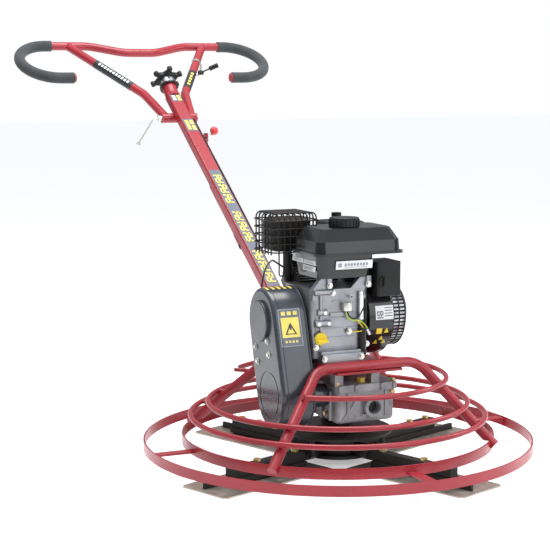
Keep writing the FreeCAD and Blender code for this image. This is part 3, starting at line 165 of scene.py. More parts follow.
def makeWire(name, points, radius, material, body):
    # round wire along a smooth curve through the control points
    curve = bpy.data.curves.new(name, "CURVE")
    curve.dimensions = "3D"
    curve.bevel_depth = radius * mm
    curve.bevel_resolution = 4
    curve.resolution_u = 10
    curve.use_fill_caps = True
    spline = curve.splines.new("NURBS")
    spline.points.add(len(points) - 1)
    for knot, p in zip(spline.points, points):
        knot.co = (*p, 1)
    spline.order_u = 3
    spline.use_endpoint_u = True
    holder = bpy.data.objects.new(name + "Path", curve)
    bpy.context.collection.objects.link(holder)
    mesh = bpy.data.meshes.new_from_object(holder.evaluated_get(bpy.context.evaluated_depsgraph_get()))
    bpy.data.objects.remove(holder)
    mesh.materials.clear()
    mesh.materials.append(material)
    mesh.shade_smooth()
    piece = bpy.data.objects.new(name, mesh)
    bpy.context.collection.objects.link(piece)
    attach(piece, body)


def newMaterial(name):
    material = bpy.data.materials.new(name)
    material.use_nodes = True
    nodes = material.node_tree.nodes
    nodes.clear()
    output = nodes.new("ShaderNodeOutputMaterial")
    shader = nodes.new("ShaderNodeBsdfPrincipled")
    material.node_tree.links.new(shader.outputs["BSDF"], output.inputs["Surface"])
    return material, shader


def noiseFrom(material, scale, detail=4.0, stretch=(1, 1, 1)):
    nodes, links = material.node_tree.nodes, material.node_tree.links
    coord = nodes.new("ShaderNodeTexCoord")
    mapping = nodes.new("ShaderNodeMapping")
    mapping.inputs["Scale"].default_value = stretch
    noise = nodes.new("ShaderNodeTexNoise")
    noise.inputs["Scale"].default_value = scale
    noise.inputs["Detail"].default_value = detail
    links.new(coord.outputs["Object"], mapping.inputs["Vector"])
    links.new(mapping.outputs["Vector"], noise.inputs["Vector"])
    return noise.outputs["Fac"]


def spread(material, value, low, high, fromLow=0.3, fromHigh=0.7):
    node = material.node_tree.nodes.new("ShaderNodeMapRange")
    node.inputs["From Min"].default_value = fromLow
    node.inputs["From Max"].default_value = fromHigh
    node.inputs["To Min"].default_value = low
    node.inputs["To Max"].default_value = high
    material.node_tree.links.new(value, node.inputs["Value"])
    return node.outputs["Result"]


def blendColor(material, factor, first, second):
    node = material.node_tree.nodes.new("ShaderNodeMix")
    node.data_type = "RGBA"
    for socket, value in (("A", first), ("B", second)):
        target = [i for i in node.inputs if i.name == socket and i.type == "RGBA"][0]
        if isinstance(value, tuple):
            target.default_value = (*value, 1)
        else:
            material.node_tree.links.new(value, target)
    material.node_tree.links.new(factor, node.inputs["Factor"])
    return [o for o in node.outputs if o.type == "RGBA"][0]


def addBump(material, shader, height, distance, strength=0.4):
    bump = material.node_tree.nodes.new("ShaderNodeBump")
    bump.inputs["Distance"].default_value = distance
    bump.inputs["Strength"].default_value = strength
    material.node_tree.links.new(height, bump.inputs["Height"])
    material.node_tree.links.new(bump.outputs["Normal"], shader.inputs["Normal"])


def surface(name, color, second, rough, metallic=0.0, coat=0.0, ior=1.5,
            grain=900, bump=0.0002, bumpStrength=0.3, patch=14):
    # two tones in soft patches, uneven roughness and a fine relief
    material, shader = newMaterial(name)
    links = material.node_tree.links
    patches = noiseFrom(material, patch)
    tone = blendColor(material, spread(material, patches, 0, 1), color, second)
    links.new(tone, shader.inputs["Base Color"])
    fine = noiseFrom(material, grain, 3.0)
    links.new(spread(material, patches, rough[0], rough[1]), shader.inputs["Roughness"])
    shader.inputs["Metallic"].default_value = metallic
    shader.inputs["Coat Weight"].default_value = coat
    shader.inputs["IOR"].default_value = ior
    shader.inputs["Coat Roughness"].default_value = 0.12
    addBump(material, shader, fine, bump, bumpStrength)
    return material


def heightMask(material, axis, offset, width=0.0004):
    # 0 below the plane axis . position = offset, 1 above it
    nodes, links = material.node_tree.nodes, material.node_tree.links
    coord = nodes.new("ShaderNodeTexCoord")
    dot = nodes.new("ShaderNodeVectorMath")
    dot.operation = "DOT_PRODUCT"
    dot.inputs[1].default_value = axis
    links.new(coord.outputs["Object"], dot.inputs[0])
    return spread(material, dot.outputs["Value"], 0, 1, offset - width, offset + width)


def makeBladeSteel():
    # rolled plate with tan stains; the bolts above the plate are yellow zinc
    material, shader = newMaterial("bladeSteel")
    links = material.node_tree.links
    stain = noiseFrom(material, 9, 6.0)
    plate = blendColor(material, spread(material, stain, 0, 1), (0.52, 0.49, 0.44), (0.36, 0.31, 0.25))
    above = heightMask(material, (0, 0, 1), 0.0036)
    links.new(blendColor(material, above, plate, (0.62, 0.47, 0.2)), shader.inputs["Base Color"])
    links.new(spread(material, noiseFrom(material, 40, 5.0), 0.28, 0.5), shader.inputs["Roughness"])
    shader.inputs["Metallic"].default_value = 0.85
    addBump(material, shader, noiseFrom(material, 300, 4.0, (1, 6, 1)), 0.0002, 0.25)
    return material


def makeCollarMetal(neck):
    # black lock ring below, bright bearing cup above
    material, shader = newMaterial("collarMetal")
    links = material.node_tree.links
    above = heightMask(material, tuple(neck["axis"]), neck["cupFrom"])
    streaks = spread(material, noiseFrom(material, 30, 4.0), 0, 1)
    cup = blendColor(material, streaks, (0.75, 0.77, 0.8), (0.5, 0.53, 0.58))
    links.new(blendColor(material, above, (0.015, 0.015, 0.016), cup), shader.inputs["Base Color"])
    links.new(above, shader.inputs["Metallic"])
    links.new(spread(material, noiseFrom(material, 60), 0.25, 0.42), shader.inputs["Roughness"])
    addBump(material, shader, noiseFrom(material, 800), 0.0001, 0.2)
    return material


def makeStopMaterial(ball):
    # zinc plate with a red ball to its right
    material, shader = newMaterial("stopLeverFinish")
    links = material.node_tree.links
    beside = heightMask(material, (1, 0, 0), ball["from"])
    tone = blendColor(material, beside, (0.6, 0.6, 0.56), (0.62, 0.045, 0.04))
    links.new(tone, shader.inputs["Base Color"])
    links.new(spread(material, beside, 0.9, 0.0, 0, 1), shader.inputs["Metallic"])
    links.new(spread(material, noiseFrom(material, 90), 0.25, 0.4), shader.inputs["Roughness"])
    addBump(material, shader, noiseFrom(material, 700), 0.0001, 0.2)
    return material


def makeFoam():
    material, shader = newMaterial("foamRubber")
    links = material.node_tree.links
    nodes = material.node_tree.nodes
    patches = spread(material, noiseFrom(material, 20), 0, 1)
    tone = blendColor(material, patches, (0.028, 0.031, 0.034), (0.045, 0.05, 0.055))
    links.new(tone, shader.inputs["Base Color"])
    coord = nodes.new("ShaderNodeTexCoord")
    cells = nodes.new("ShaderNodeTexVoronoi")
    cells.inputs["Scale"].default_value = 900
    links.new(coord.outputs["Object"], cells.inputs["Vector"])
    shader.inputs["Roughness"].default_value = 0.8
    shader.inputs["Sheen Weight"].default_value = 0.15
    addBump(material, shader, cells.outputs["Distance"], 0.0004, 0.5)
    return material


neckTop = {"y": 1210, "angle": 45, "ringTo": 42}
poleLine = {"x": 10, "y": 471, "z": 398.4, "angle": 33.1, "width": 42, "depth": 30}


def polePoint(y):
    # point on the pole's centre line, metres
    z = poleLine["z"] + (y - poleLine["y"]) * math.tan(rad(poleLine["angle"]))
    return point(poleLine["x"], y, z)


neckAxis = inYz(neckTop["angle"])
cupFrom = (polePoint(neckTop["y"]) + neckAxis * neckTop["ringTo"] * mm).dot(neckAxis)

looks = {
    "red": surface("redPaint", (0.36, 0.015, 0.026), (0.30, 0.012, 0.021), (0.26, 0.38), coat=0.15, grain=260,
                   bump=0.0004, bumpStrength=0.12),
    "cast": surface("castAlloy", (0.34, 0.345, 0.365), (0.25, 0.255, 0.27), (0.3, 0.45), metallic=0.7,
                    grain=700, bump=0.0006, bumpStrength=0.35),
    "roughCast": surface("roughCast", (0.36, 0.37, 0.385), (0.22, 0.225, 0.24), (0.4, 0.6), metallic=0.45,
                         grain=420, bump=0.001, bumpStrength=0.55, patch=30),
    "glossBlack": surface("glossBlack", (0.012, 0.012, 0.013), (0.009, 0.009, 0.010), (0.16, 0.24), coat=0.3,
                          ior=1.45, grain=300, bump=0.0003, bumpStrength=0.1),
    # belt cover paint: its dark is the paint's own, its lift to blue-grey is a painted sky reflection
    "slate": surface("darkPaintWithPaintedSkyTint", (0.042, 0.048, 0.062), (0.034, 0.039, 0.05), (0.22, 0.3), coat=0.25,
                     grain=300, bump=0.0003, bumpStrength=0.1),
    # satin black finish, also used as painted shade in the governor boss hole and behind the starter louvres
    "satinBlackAndShade": surface("satinBlackAndShade", (0.014, 0.014, 0.014), (0.010, 0.010, 0.010), (0.38, 0.52), ior=1.35,
                          grain=1200, bump=0.0002, bumpStrength=0.25),
    "castBlack": surface("castBlack", (0.014, 0.014, 0.015), (0.024, 0.021, 0.019), (0.4, 0.6), ior=1.35,
                         grain=500, bump=0.0006, bumpStrength=0.35),
    "zinc": surface("zincPlate", (0.70, 0.69, 0.65), (0.58, 0.57, 0.55), (0.24, 0.4), metallic=1.0),
    "yellowZinc": surface("yellowZinc", (0.68, 0.52, 0.22), (0.62, 0.50, 0.32), (0.26, 0.42), metallic=1.0),
    "bright": surface("brightMetal", (0.74, 0.74, 0.76), (0.60, 0.60, 0.62), (0.1, 0.2), metallic=1.0,
                      patch=40),
    "machined": surface("machinedSteel", (0.55, 0.55, 0.56), (0.46, 0.46, 0.47), (0.22, 0.36), metallic=1.0),
    "bronze": surface("bronzeMetal", (0.60, 0.38, 0.15), (0.50, 0.31, 0.12), (0.25, 0.4), metallic=1.0),
    "yellow": surface("yellowPlastic", (0.80, 0.60, 0.035), (0.72, 0.50, 0.03), (0.3, 0.42), coat=0.2),
    "belt": surface("beltRubber", (0.02, 0.02, 0.021), (0.03, 0.03, 0.031), (0.6, 0.8)),
    "paleInk": surface("paleLabel", (0.78, 0.79, 0.80), (0.70, 0.71, 0.72), (0.35, 0.45), patch=60),
    "yellowInk": surface("yellowLabel", (0.83, 0.70, 0.14), (0.76, 0.63, 0.11), (0.35, 0.45), patch=60),
    "slateInk": surface("slateLabel", (0.13, 0.145, 0.19), (0.10, 0.115, 0.155), (0.35, 0.45), patch=60),
    "greyInk": surface("greyLabel", (0.32, 0.33, 0.35), (0.26, 0.27, 0.29), (0.4, 0.5), patch=60),
    # dark label ink, also used as painted shade on the floor of the gearbox socket bore
    "darkInkAndShade": surface("darkLabelAndShade", (0.02, 0.022, 0.026), (0.03, 0.03, 0.034), (0.35, 0.45), patch=60),
    "greenWire": surface("greenWire", (0.25, 0.52, 0.06), (0.60, 0.62, 0.05), (0.35, 0.45), patch=220),
    "heatBlack": surface("heatBlack", (0.014, 0.013, 0.012), (0.022, 0.018, 0.016), (0.34, 0.5), ior=1.35,
                         grain=800),
    "darkCast": surface("darkCast", (0.085, 0.085, 0.09), (0.055, 0.055, 0.06), (0.35, 0.5), metallic=0.5,
                        grain=600, bump=0.0005, bumpStrength=0.3),
    "louvre": surface("louvreSteel", (0.50, 0.50, 0.52), (0.12, 0.12, 0.13), (0.12, 0.3), metallic=1.0,
                      patch=70),
    "blade": makeBladeSteel(),
    "collar": makeCollarMetal({"axis": neckAxis, "cupFrom": cupFrom}),
    "stop": makeStopMaterial({"from": 0.0715}),
    "foam": makeFoam(),
}

nodeLooks = {
    "red": ["front_leg_arch", "rear_leg_arch", "outer_guard_band", "lower_guard_band", "guard_brackets",
            "middle_guard_ring", "upper_guard_ring", "top_guard_ring", "engine_plate", "pole", "handlebar"],
    "cast": ["crankcase", "carburettor"],
    "roughCast": ["gearbox_housing", "gearbox_cover"],
    # the belt cover's blue-grey paint carries a painted sky reflection in its colour
    "slate": ["belt_cover", "belt_back_plate"],
    "glossBlack": ["fuel_tank", "fan_cover"],
    "satinBlackAndShade": ["control_box", "switch_knob", "fuel_cap", "air_cleaner", "air_cleaner_knob",
                   "throttle_lever", "throttle_cable", "starter_grip", "pitch_wheel"],
    "castBlack": ["spider_hub", "arm_1", "arm_2", "arm_3", "arm_4", "pressure_plate", "pitch_yoke"],
    "zinc": ["cover_bolts", "clamp_lever", "throttle_clamp"],
    "bright": ["recoil_cover"],
    "machined": ["crankshaft", "worm_shaft", "output_shaft", "shaft_bearings", "flywheel", "clutch_pulley",
                 "driven_pulley"],
    "bronze": ["worm_wheel"],
    "yellow": ["oil_dipstick", "gearbox_oil_plug"],
    "belt": ["drive_belt"],
    "heatBlack": ["muffler", "muffler_cage"],
    "darkCast": ["cylinder"],
    "blade": ["blade_1", "blade_2", "blade_3", "blade_4"],
    "collar": ["pole_collar"],
    "stop": ["stop_lever"],
    "foam": ["foam_grips"],
}
for look, names in nodeLooks.items():
    for name in names:
        for index in range(len(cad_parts[name].data.materials)):
            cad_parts[name].data.materials[index] = looks[look]
print("materials done")


def newTree(name, inputs):
    tree = bpy.data.node_groups.new(name, "GeometryNodeTree")
    tree.interface.new_socket("Geometry", in_out="INPUT", socket_type="NodeSocketGeometry")
    tree.interface.new_socket("Geometry", in_out="OUTPUT", socket_type="NodeSocketGeometry")
    for label, value in inputs.items():
        kind = "NodeSocketInt" if isinstance(value, int) else "NodeSocketFloat"
        tree.interface.new_socket(label, in_out="INPUT", socket_type=kind).default_value = value
    return tree, tree.nodes.new("NodeGroupInput"), tree.nodes.new("NodeGroupOutput")


def endTree(tree, geometry, output, material):
    realize = tree.nodes.new("GeometryNodeRealizeInstances")
    paint = tree.nodes.new("GeometryNodeSetMaterial")
    paint.inputs["Material"].default_value = material
    tree.links.new(geometry, realize.inputs["Geometry"])
    tree.links.new(realize.outputs["Geometry"], paint.inputs["Geometry"])
    tree.links.new(paint.outputs["Geometry"], output.inputs["Geometry"])


def treeResult(name, mesh, tree, values, body):
    piece = bpy.data.objects.new(name, mesh)
    bpy.context.collection.objects.link(piece)
    modifier = piece.modifiers.new("parts", "NODES")
    modifier.node_group = tree
    for item in tree.interface.items_tree:
        if item.in_out == "INPUT" and item.name in values:
            modifier[item.identifier] = values[item.name]
    plain = bpy.data.meshes.new_from_object(piece.evaluated_get(bpy.context.evaluated_depsgraph_get()))
    piece.modifiers.clear()
    piece.data = plain
    plain.shade_smooth()
    plain.set_sharp_from_angle(angle=rad(35))
    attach(piece, body)


def screwTree(material):
    # a hexagon head on a round washer at each point, turned to the point's aim
    sizes = {"Head Radius": 0.006, "Head Height": 0.005, "Washer Radius": 0.0085, "Washer Height": 0.0015}
    tree, start, output = newTree("screws", sizes)
    head = tree.nodes.new("GeometryNodeMeshCylinder")
    head.inputs["Vertices"].default_value = 6
    washer = tree.nodes.new("GeometryNodeMeshCylinder")
    washer.inputs["Vertices"].default_value = 20
    lift = tree.nodes.new("GeometryNodeTransform")
    half = tree.nodes.new("ShaderNodeMath")
    half.operation = "MULTIPLY_ADD"
    half.inputs[1].default_value = 0.5
    place = tree.nodes.new("ShaderNodeCombineXYZ")
    join = tree.nodes.new("GeometryNodeJoinGeometry")
    aim = tree.nodes.new("GeometryNodeInputNamedAttribute")
    aim.data_type = "FLOAT_VECTOR"
    aim.inputs["Name"].default_value = "aim"
    turn = tree.nodes.new("FunctionNodeAlignEulerToVector")
    turn.axis = "Z"
    copy = tree.nodes.new("GeometryNodeInstanceOnPoints")
    link = tree.links.new
    link(start.outputs["Head Radius"], head.inputs["Radius"])
    link(start.outputs["Head Height"], head.inputs["Depth"])
    link(start.outputs["Washer Radius"], washer.inputs["Radius"])
    link(start.outputs["Washer Height"], washer.inputs["Depth"])
    link(start.outputs["Head Height"], half.inputs[0])
    link(start.outputs["Washer Height"], half.inputs[2])
    link(half.outputs["Value"], place.inputs["Z"])
    link(place.outputs["Vector"], lift.inputs["Translation"])
    link(head.outputs["Mesh"], lift.inputs["Geometry"])
    link(lift.outputs["Geometry"], join.inputs["Geometry"])
    link(washer.outputs["Mesh"], join.inputs["Geometry"])
    link(start.outputs["Geometry"], copy.inputs["Points"])
    link(join.outputs["Geometry"], copy.inputs["Instance"])
    link(aim.outputs["Attribute"], turn.inputs["Vector"])
    link(turn.outputs["Rotation"], copy.inputs["Rotation"])
    endTree(tree, copy.outputs["Instances"], output, material)
    return tree


def pointMesh(name, places):
    # vertices only; each place is (point, aim)
    mesh = bpy.data.meshes.new(name)
    mesh.from_pydata([tuple(p) for p, aim in places], [], [])
    attribute = mesh.attributes.new("aim", "FLOAT_VECTOR", "POINT")
    for index, (p, aim) in enumerate(places):
        attribute.data[index].vector = aim
    return mesh


def ringTree():
    # bars side by side round a circle, such as the louvres of a grille
    sizes = {"Count": 30, "Ring Radius": 0.08, "Bar Length": 0.03, "Bar Width": 0.004, "Bar Height": 0.003}
    tree, start, output = newTree("ringBars", sizes)
    circle = tree.nodes.new("GeometryNodeMeshCircle")
    bar = tree.nodes.new("GeometryNodeMeshCube")
    size = tree.nodes.new("ShaderNodeCombineXYZ")
    where = tree.nodes.new("GeometryNodeInputPosition")
    turn = tree.nodes.new("FunctionNodeAlignEulerToVector")
    turn.axis = "X"
    turn.pivot_axis = "Z"
    copy = tree.nodes.new("GeometryNodeInstanceOnPoints")
    stand = tree.nodes.new("GeometryNodeTransform")
    link = tree.links.new
    link(start.outputs["Count"], circle.inputs["Vertices"])
    link(start.outputs["Ring Radius"], circle.inputs["Radius"])
    link(start.outputs["Bar Height"], size.inputs["X"])
    link(start.outputs["Bar Width"], size.inputs["Y"])
    link(start.outputs["Bar Length"], size.inputs["Z"])
    link(size.outputs["Vector"], bar.inputs["Size"])
    link(circle.outputs["Mesh"], copy.inputs["Points"])
    link(bar.outputs["Mesh"], copy.inputs["Instance"])
    link(where.outputs["Position"], turn.inputs["Vector"])
    link(turn.outputs["Rotation"], copy.inputs["Rotation"])
    link(copy.outputs["Instances"], stand.inputs["Geometry"])
    stand.inputs["Rotation"].default_value = (0, rad(90), 0)
    return tree, stand, output


screwsZinc = screwTree(looks["zinc"])
screwsYellow = screwTree(looks["yellowZinc"])


coverSize = {"top": (4, 356), "topR": 79, "bottom": (-45, 185), "bottomR": 82, "left": -202, "right": -122,
             "labelX": (-191, -134), "labelFrom": -14, "labelTo": 76, "lip": 2.2, "hazards": 9}


def coverTangent():
    # upper and lower ends of the flat front side, and its outward direction, in Y and Z
    dy = coverSize["bottom"][0] - coverSize["top"][0]
    dz = coverSize["bottom"][1] - coverSize["top"][1]
    length = math.hypot(dy, dz)
    lean = math.asin((coverSize["bottomR"] - coverSize["topR"]) / length)
    ny, nz = dz / length, -dy / length
    outY = ny * math.cos(lean) - dy / length * math.sin(lean)
    outZ = nz * math.cos(lean) - dz / length * math.sin(lean)
    ends = []
    for centre, radius in (("top", "topR"), ("bottom", "bottomR")):
        y, z = coverSize[centre]
        ends.append((y + outY * coverSize[radius], z + outZ * coverSize[radius]))
    return ends[0], ends[1], Vector((0, outY, outZ))


def coverOutline(x, grow):
    # points round the cover's outline
    out = coverTangent()[2]
    start = math.atan2(out.z, out.y)
    dy = coverSize["bottom"][0] - coverSize["top"][0]
    dz = coverSize["bottom"][1] - coverSize["top"][1]
    axis = math.atan2(dz, dy)
    half = math.pi - abs((axis - start + math.pi) % (2 * math.pi) - math.pi)
    points = []
    for centre, radius, first, last in (
            (coverSize["top"], coverSize["topR"] + grow, axis + math.pi - half, axis + math.pi + half),
            (coverSize["bottom"], coverSize["bottomR"] + grow, axis - math.pi + half, axis + math.pi - half)):
        for step in range(25):
            a = first + (last - first) * step / 24
            points.append(point(x, centre[0] + radius * math.cos(a), centre[1] + radius * math.sin(a)))
    return points


def makeCoverParts():
    top, low, out = coverTangent()
    down = Vector((0, low[0] - top[0], low[1] - top[1])).normalized()
    origin = point(0, *top)
    place = frameOf(origin, Vector((1, 0, 0)), -down)
    if (place.to_3x3() @ Vector((0, 0, 1))).dot(out) < 0:
        place = place @ Matrix.Rotation(math.pi, 4, "X")
    side = 1 if (place.to_3x3() @ Vector((0, 1, 0))).dot(down) > 0 else -1
    x0, x1 = coverSize["labelX"]
    yTop, yLow = side * coverSize["labelFrom"], side * coverSize["labelTo"]

    def panel(bm, left, right, a, b, low, high):
        ys = sorted((yTop + (yLow - yTop) * a, yTop + (yLow - yTop) * b))
        addBox(bm, (x0 + (x1 - x0) * left, ys[0], low), (x0 + (x1 - x0) * right, ys[1], high), place)

    border = bmesh.new()
    panel(border, 0, 1, 0, 1, -3, 0.5)
    makePiece("coverLabelBorder", border, looks["greyInk"], "root")
    back = bmesh.new()
    panel(back, 0.04, 0.96, 0.025, 0.975, -0.5, 0.8)
    makePiece("coverLabelBack", back, looks["slateInk"], "root")
    yellow = bmesh.new()
    panel(yellow, 0.1, 0.9, 0.23, 0.76, -0.5, 1.1)
    for index in range(3):
        panel(yellow, 0.14 + 0.27 * index, 0.32 + 0.27 * index, 0.07, 0.17, -0.5, 1.1)
    for index in range(4):
        panel(yellow, 0.2 + 0.16 * index, 0.29 + 0.16 * index, 0.84, 0.9, -0.5, 1.1)
    makePiece("coverLabelYellow", yellow, looks["yellowInk"], "root")
    ink = bmesh.new()
    middle = (x0 + x1) / 2
    height = yLow - yTop
    centre = yTop + height * 0.61
    base, peak = yTop + height * 0.68, yTop + height * 0.36
    corners = [(middle - 15, base), (middle + 15, base), (middle, peak)]
    inner = [(middle + (x - middle) * 0.66, centre + (y - centre) * 0.66) for x, y in corners]
    for i in range(3):
        j = (i + 1) % 3
        quad = [corners[i], corners[j], inner[j], inner[i]]
        area = sum(quad[k][0] * quad[(k + 1) % 4][1] - quad[(k + 1) % 4][0] * quad[k][1] for k in range(4))
        addPrism(ink, quad if area > 0 else quad[::-1], 0.5, 1.4, place)
    panel(ink, 0.46, 0.54, 0.46, 0.56, 0.5, 1.4)
    makePiece("coverLabelInk", ink, looks["darkInkAndShade"], "root")
    # lip and rim take the same blue-grey paint with its painted sky reflection
    lip = coverOutline(coverSize["right"] + 1, 0.5)
    makeWire("coverLip", lip + lip[:1], coverSize["lip"], looks["slate"], "root")
    rim = coverOutline(coverSize["left"] + 15, 0.0)
    makeWire("coverRim", rim + rim[:1], 1.0, looks["slate"], "root")
    for name, look, parity in (("hazardYellow", "yellowInk", 0), ("hazardDark", "darkInkAndShade", 1)):
        strip = bmesh.new()
        width = (coverSize["right"] - coverSize["left"] - 14) / coverSize["hazards"]
        for index in range(parity, coverSize["hazards"], 2):
            x = coverSize["left"] + 8 + width * index
            addCurvedPatch(strip, (x, x + width), coverSize["top"], coverSize["topR"] + 0.5, 52, 104)
        makePiece(name, strip, looks[look], "root")


makeCoverParts()
print("belt cover done")


caseSize = {"front": -92, "ribX": (-104, 30), "ribZ": (366, 342, 320, 296), "flangeX": -88,
            "flangeZ": (300, 434), "footX": (-95, 12), "footY": (-117, -106), "footZ": (264, 284),
            "bars": ((-60, -36, 405, 409, 3), (-66, -4, 372, 380, 5)),
            "arms": ((-74, -62, 438, 462), (30, 42, 436, 464)),
            "bosses": ((430, -108, -58, 7), (382, -100, -74, 8), (356, -106, -66, 9)),
            "screws": ((-82, 382), (-72, 356), (-98, 356), (34, 444), (-68, 446), (-60, 428), (30, 300),
                       (-17, 333), (-104, 300)),
            "footScrews": (-90, 7)}


def makeCrankcaseParts():
    bm = bmesh.new()
    front = caseSize["front"]
    for z in caseSize["ribZ"]:
        addBox(bm, (caseSize["ribX"][0], front - 3, z - 1.6), (caseSize["ribX"][1], front + 2, z + 1.6))
    addBox(bm, (caseSize["flangeX"] - 5, front - 6, caseSize["flangeZ"][0]),
           (caseSize["flangeX"] + 1, front + 2, caseSize["flangeZ"][1]))
    addBox(bm, (caseSize["flangeX"] + 2, front - 4, caseSize["flangeZ"][0] + 40),
           (caseSize["flangeX"] + 6, front + 2, caseSize["flangeZ"][1]))
    for x0, x1, z0, z1, ahead in caseSize["bars"]:
        addBox(bm, (x0, front - ahead, z0), (x1, front + 2, z1))
    for z, x0, x1, r in caseSize["bosses"]:
        addRod(bm, point(x0, front - 3, z), point(x1, front - 3, z), r)
    for x0, x1, z0, z1 in caseSize["arms"]:
        addBox(bm, (x0, front - 6, z0), (x1, front + 2, z1))
    foot = [(caseSize["footX"][end], caseSize["footY"][end], caseSize["footZ"][end]) for end in (0, 1)]
    addBox(bm, *foot)
    makePiece("crankcaseRibs", bm, looks["cast"], "root", bevel=1.2)
    aim = Vector((0, -1, 0))
    places = [(point(x, front - 6.5, z), aim) for x, z in caseSize["screws"]]
    footAt = (caseSize["footY"][0] - 0.5, sum(caseSize["footZ"]) / 2)
    places += [(point(x, *footAt), aim) for x in caseSize["footScrews"]]
    values = {"Head Radius": 0.005, "Head Height": 0.0045, "Washer Radius": 0.0072}
    heads = pointMesh("crankcaseScrewPoints", places)
    treeResult("crankcaseScrews", heads, screwsZinc, values, "root")


# leads are (x, distance in front of the plate's plane, z)
governorSize = {
    "outline": ((6, 396), (6, 432), (-6, 434), (-20, 428), (-30, 414), (-34, 398), (-18, 392)),
    "plate": (2, 9), "sensor": (-24, 384, 404, 13), "hole": (-14, 417),
    "coil": ((18, 284, 346, 9), (18, 276, 286, 11)),
    "greenLead": ((-27, 9, 384), (-29, 12, 372), (-17, 14, 361), (0, 12, 360), (14, 12, 357), (30, 8, 338)),
    "yellowLead": ((2, 12, 359), (14, 12, 346), (20, 11, 334), (4, 10, 331), (-15, 9, 333)),
    "blackLead": ((-25, 9, 386), (-23, 13, 372), (-10, 15, 362), (8, 14, 372), (22, 12, 396), (30, 8, 372),
                  (24, 6, 350)),
}


def makeGovernor():
    # pressed plate with a round sensor below it, a coil beside it and three leads
    y = caseSize["front"] - 1
    bm = bmesh.new()
    place = frameOf(point(0, y, 0), Vector((-1, 0, 0)), Vector((0, 0, 1)))
    addPrism(bm, [(-x, z) for x, z in governorSize["outline"]], *governorSize["plate"], place)
    x, z0, z1, radius = governorSize["sensor"]
    addRod(bm, point(x, y - 8, z0), point(x, y - 8, z1), radius)
    x, z = governorSize["hole"]
    addRod(bm, point(x, y - 12, z), point(x, y - 6, z), 4)
    makePiece("governorPlate", bm, looks["zinc"], "root", bevel=1.0)
    dark = bmesh.new()
    # a dark stub at the hole in the boss: painted shade standing for the hole's inside
    addRod(dark, point(x, y - 13.5, z), point(x, y - 11, z), 2.4)
    for x, z0, z1, radius in governorSize["coil"]:
        addRod(dark, point(x, y - 4, z0), point(x, y - 4, z1), radius)
    addRod(dark, point(24, y - 6, 346), point(26, y - 6, 410), 4)
    makePiece("coilRodsAndHoleShade", dark, looks["satinBlackAndShade"], "root")
    silver = bmesh.new()
    addRod(silver, point(14, y - 6, 360), point(14, y - 6, 428), 6.5)
    addRod(silver, point(30, y - 5, 336), point(38, y - 5, 322), 5)
    makePiece("wireSleeves", silver, looks["bright"], "root")
    for name, radius, look, slotName in (("greenLead", 1.7, "greenWire", "yellow_plastic"),
                                         ("yellowLead", 1.4, "yellow", "yellow_plastic"),
                                         ("blackLead", 1.6, "satinBlackAndShade", "black_plastic")):
        route = [point(px, y - ahead, pz) for px, ahead, pz in governorSize[name]]
        makeWire(name, route, radius, looks[look], "root")


makeCrankcaseParts()
makeGovernor()
print("crankcase done")


tankSize = {"frontLabel": (-56, 40, 484, 504), "frontY": -104.6, "frontLean": 98.5, "leftX": -100.2,
            "leftLabels": ((-46, 16, 9, 28), (20, 84, 9, 28), (20, 84, -6, 8))}
fanSize = {"centre": (4, 356), "radius": 98, "x": (57, 105), "louvreX": (114, 146), "faceX": 162,
           "labelAngles": (161, 181), "panelAngles": (193.5, 202),
           "signs": ((31, 194), (20, 206), (8, 213), (30, 213))}


def makeTankLabels():
    pale = bmesh.new()
    ink = bmesh.new()
    x0, x1, z0, z1 = tankSize["frontLabel"]
    front = frameOf(point(0, tankSize["frontY"], z0), Vector((1, 0, 0)), inYz(tankSize["frontLean"]))
    addBox(pale, (x0, 0, -1), (x1, z1 - z0, 1.4), front)
    addBox(ink, (x0 + 5, 5, 0), (x0 + 15, 15, 1.9), front)
    for index in range(8):
        addBox(ink, (x0 + 22 + 8 * index, 7 + index % 2, 0), (x0 + 27.5 + 8 * index, 14, 1.9), front)
    addBox(ink, (x0 + 22, 3.5, 0), (x0 + 82, 4.5, 1.9), front)
    side = frameOf(point(tankSize["leftX"], 0, 482), Vector((0, -1, 0)), Vector((0.12, 0, 1)))
    for y0, y1, z0, z1 in tankSize["leftLabels"]:
        addBox(pale, (y0, z0 + 2, -1), (y1, z1, 1.4), side)
        for index in range(4):
            z = z0 + 4.5 + (z1 - z0 - 6) / 4 * index
            addBox(ink, (y0 + 5, z, 0), (y1 - 6 - 7 * (index % 3), z + 1.2, 1.9), side)
    makePiece("tankLabels", pale, looks["paleInk"], "root")
    makePiece("tankLabelBars", ink, looks["greyInk"], "root")


def makeFanLabels():
    centre, radius = fanSize["centre"], fanSize["radius"]
    x0, x1 = fanSize["x"]
    pale = bmesh.new()
    addCurvedPatch(pale, (x0, x1), centre, radius + 0.4, *fanSize["labelAngles"])
    makePiece("fanLabel", pale, looks["paleInk"], "root")
    ink = bmesh.new()
    for row in range(5):
        for column in range(5):
            if (row * 3 + column * 2) % 4 != 1:
                x = x0 + 3 + 3.6 * column
                a = 169 + 2.1 * row
                addCurvedPatch(ink, (x, x + 2.9), centre, radius + 0.7, a, 170.6 + 2.1 * row, steps=2)
        if row < 4:
            a = 164 + 3.8 * row
            addCurvedPatch(ink, (x0 + 24, x1 - 3), centre, radius + 0.7, a, 165 + 3.8 * row, steps=2)
    makePiece("fanLabelMarks", ink, looks["darkInkAndShade"], "root")
    yellow = bmesh.new()
    addCurvedPatch(yellow, (x0 + 4, x0 + 19), centre, radius + 0.4, *fanSize["panelAngles"])
    for along, a in fanSize["signs"]:
        x = x0 + along
        for step in range(4):
            half = 1.4 + 1.4 * step
            low = a + 1.7 * step
            addCurvedPatch(yellow, (x - half, x + half), centre, radius + 0.4, low, low + 1.75, steps=2)
    makePiece("fanMarks", yellow, looks["yellow"], "root")


